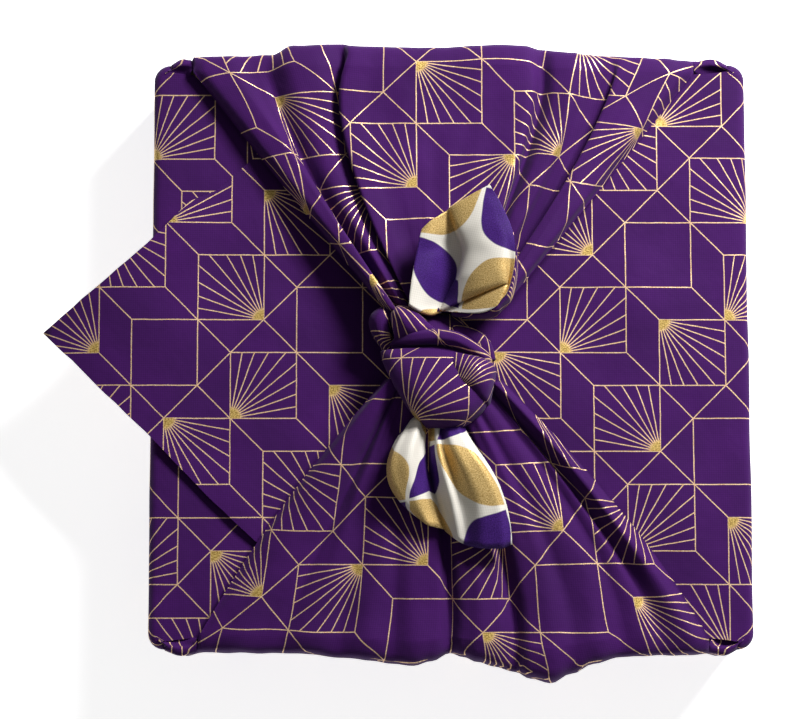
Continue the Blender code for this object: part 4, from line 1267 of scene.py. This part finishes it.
# %% White cotton with printed leaves
LEAF = 39.0 * MM
BACK_SUMS = (
    ("p", "ADD", "u", "v"), ("q", "SUBTRACT", "v", "u"),
    ("x", "MULTIPLY", "p", 0.7071 / LEAF), ("y", "MULTIPLY", "q", 0.7071 / LEAF),
    ("xf", "FRACT", "x"), ("yf", "FRACT", "y"), ("xh", "ADD", "x", 0.5), ("yh", "ADD", "y", 0.5),
    ("xhf", "FRACT", "xh"), ("yhf", "FRACT", "yh"),
    ("a", "SUBTRACT", "xf", 0.5), ("b", "SUBTRACT", "yhf", 0.5),
    ("c", "SUBTRACT", "xhf", 0.5), ("d", "SUBTRACT", "yf", 0.5),
    ("at", "MULTIPLY", "a", math.pi), ("dt", "MULTIPLY", "d", math.pi),
    ("across_gold", "COSINE", "at"), ("across_purple", "COSINE", "dt"),
    ("wide_gold", "MULTIPLY", "across_gold", 0.29), ("wide_purple", "MULTIPLY", "across_purple", 0.29),
    ("b_a", "ABSOLUTE", "b"), ("c_a", "ABSOLUTE", "c"),
    ("gold", "SUBTRACT", "wide_gold", "b_a"), ("purple", "SUBTRACT", "wide_purple", "c_a"),
)


def leaf_cotton():
    material, tree = new_material("white_cotton_with_printed_leaves")
    place, known = draw_print(tree, BACK_SUMS, (45.0, 1.0), 4 * MM)
    gold_here = add_node(tree, "MapRange", {}, {"Value": known["gold"], "From Min": 0.022, "From Max": 0.034})
    purple_here = add_node(tree, "MapRange", {}, {
        "Value": known["purple"], "From Min": 0.022, "From Max": 0.034,
    })

    speck = add_node(tree, "TexNoise", {}, {"Vector": place, "Scale": 1900.0, "Detail": 2.0, "Roughness": 0.8})
    spread = add_node(tree, "MapRange", {}, {"Value": speck.outputs["Fac"], "From Min": 0.34, "From Max": 0.66})
    gold = add_node(tree, "Mix", {"data_type": "RGBA"}, {
        "Factor": spread.outputs["Result"], "A": linear("#a9803c"), "B": linear("#f3d796"),
    })
    purple = add_node(tree, "Mix", {"data_type": "RGBA"}, {
        "Factor": spread.outputs["Result"], "A": linear("#2a0a50"), "B": linear("#4b2280"),
    })
    threads = weave(tree, place)
    white = add_node(tree, "Mix", {"data_type": "RGBA"}, {
        "Factor": threads.outputs[0], "A": linear("#dcd7cc"), "B": linear("#ebe6dc"),
    })
    with_purple = add_node(tree, "Mix", {"data_type": "RGBA"}, {
        "Factor": purple_here.outputs["Result"], "A": white.outputs["Result"], "B": purple.outputs["Result"],
    })
    colour = add_node(tree, "Mix", {"data_type": "RGBA"}, {
        "Factor": gold_here.outputs["Result"], "A": with_purple.outputs["Result"],
        "B": gold.outputs["Result"],
    })
    metal = add_node(tree, "Math", {"operation": "MULTIPLY"}, {0: gold_here.outputs["Result"], 1: 0.5})
    height = add_node(tree, "Math", {"operation": "MULTIPLY"}, {0: threads.outputs[0], 1: 0.03 * MM})
    bump = add_node(tree, "Bump", {}, {"Strength": 0.6, "Distance": 1.0, "Height": height.outputs[0]})
    shader = add_node(tree, "BsdfPrincipled", {}, {
        "Base Color": colour.outputs["Result"], "Metallic": metal.outputs[0], "Roughness": 0.6,
        "Normal": bump.outputs[0], "Sheen Weight": 0.04, "Specular IOR Level": 0.2, "IOR": 1.47,
    })
    add_node(tree, "OutputMaterial", {}, {"Surface": shader.outputs[0]})
    return material


face_print, back_print = printed_cotton(), leaf_cotton()
for finish in (face_print, back_print, face_print, face_print):
    furoshiki.data.materials.append(finish)
print("materials of the cloth:", [m.name for m in furoshiki.data.materials])

# %% [markdown]
# ## The box inside
# The box doesn't show, but it is part of the object. It is made of grey board, pulp pressed into stiff
# sheets, which gives it a dull warm grey with short fibres in it.

# %% Grey board for the box
def grey_board():
    material, tree = new_material("grey_board")
    place = add_node(tree, "TexCoord")
    fibres = add_node(tree, "TexNoise", {}, {"Vector": place.outputs["Object"], "Scale": 900.0, "Detail": 6.0})
    colour = add_node(tree, "Mix", {"data_type": "RGBA"}, {
        "Factor": fibres.outputs["Fac"], "A": linear("#8d7d68"), "B": linear("#b3a48d"),
    })
    bump = add_node(tree, "Bump", {}, {"Strength": 0.3, "Distance": 0.2 * MM, "Height": fibres.outputs["Fac"]})
    shader = add_node(tree, "BsdfPrincipled", {}, {
        "Base Color": colour.outputs["Result"], "Roughness": 0.85, "Normal": bump.outputs[0],
    })
    add_node(tree, "OutputMaterial", {}, {"Surface": shader.outputs[0]})
    return material


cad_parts["gift_box"].data.materials.clear()
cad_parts["gift_box"].data.materials.append(grey_board())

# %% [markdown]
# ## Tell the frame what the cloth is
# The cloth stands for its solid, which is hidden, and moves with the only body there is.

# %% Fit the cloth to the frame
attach(furoshiki, "root")
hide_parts("furoshiki_cloth")

# %% [markdown]
# ## Floor, light and camera
# The photograph looks almost straight down from a little over a metre, against white. A soft light the size of
# a small window comes from beyond the upper right of the picture, so the folds are shaded towards the lower
# left. A faint wide light, a pale floor and a white sky keep the ground bright and the hollows readable.

# %% Floor
def pale_floor():
    mesh = bmesh.new()
    bmesh.ops.create_grid(mesh, x_segments=2, y_segments=2, size=3.0)
    data = bpy.data.meshes.new("pale_floor")
    mesh.to_mesh(data)
    mesh.free()
    floor = bpy.data.objects.new("pale_floor", data)
    bpy.context.scene.collection.objects.link(floor)
    material, tree = new_material("matt_white_paper")
    fine = add_node(tree, "TexNoise", {}, {"Scale": 300.0})
    colour = add_node(tree, "Mix", {"data_type": "RGBA"}, {
        "Factor": fine.outputs["Fac"], "A": linear("#fbfbfb"), "B": linear("#ffffff"),
    })
    shader = add_node(tree, "BsdfPrincipled", {}, {
        "Base Color": colour.outputs["Result"], "Roughness": 0.9, "Emission Color": (1.0, 1.0, 1.0, 1.0),
        "Emission Strength": 0.8,
    })
    add_node(tree, "OutputMaterial", {}, {"Surface": shader.outputs[0]})
    data.materials.append(material)
    return floor


pale_floor()


# %% Lights
def soft_light(name, place, target, width, depth, power):
    lamp = bpy.data.lights.new(name, "AREA")
    lamp.shape, lamp.size, lamp.size_y, lamp.energy = "RECTANGLE", width, depth, power
    holder = bpy.data.objects.new(name, lamp)
    holder.location = place
    holder.rotation_euler = (Vector(target) - Vector(place)).to_track_quat("-Z", "Y").to_euler()
    bpy.context.scene.collection.objects.link(holder)


soft_light("window_light", (0.52, 0.62, 0.66), (0, 0, 0.05), 0.36, 0.26, 17.0)
soft_light("fill_light", (0.5, -0.1, 1.7), (0, 0, 0), 1.8, 1.2, 0.8)
world = bpy.data.worlds.new("white_sky")
bpy.context.scene.world = world
world.use_nodes = True
world.node_tree.nodes["Background"].inputs["Color"].default_value = (1.0, 1.0, 1.0, 1.0)
world.node_tree.nodes["Background"].inputs["Strength"].default_value = 0.11

# %% Camera
TARGET = Vector((-0.0227, -0.0034, 0.050))
DISTANCE = 1.05
FOCAL_PIXELS = 2310
TILT = math.radians(7)
eye = bpy.data.cameras.new("camera_above")
eye.sensor_width = 36.0
eye.lens = eye.sensor_width * FOCAL_PIXELS / 800
camera = bpy.data.objects.new("camera_above", eye)
camera.location = TARGET + DISTANCE * Vector((0.0, -math.sin(TILT), math.cos(TILT)))
camera.rotation_euler = (TARGET - camera.location).to_track_quat("-Z", "Y").to_euler()
bpy.context.scene.collection.objects.link(camera)
bpy.context.scene.camera = camera
bpy.context.scene.view_settings.view_transform = "Standard"
print("lens:", round(eye.lens, 1), "mm")
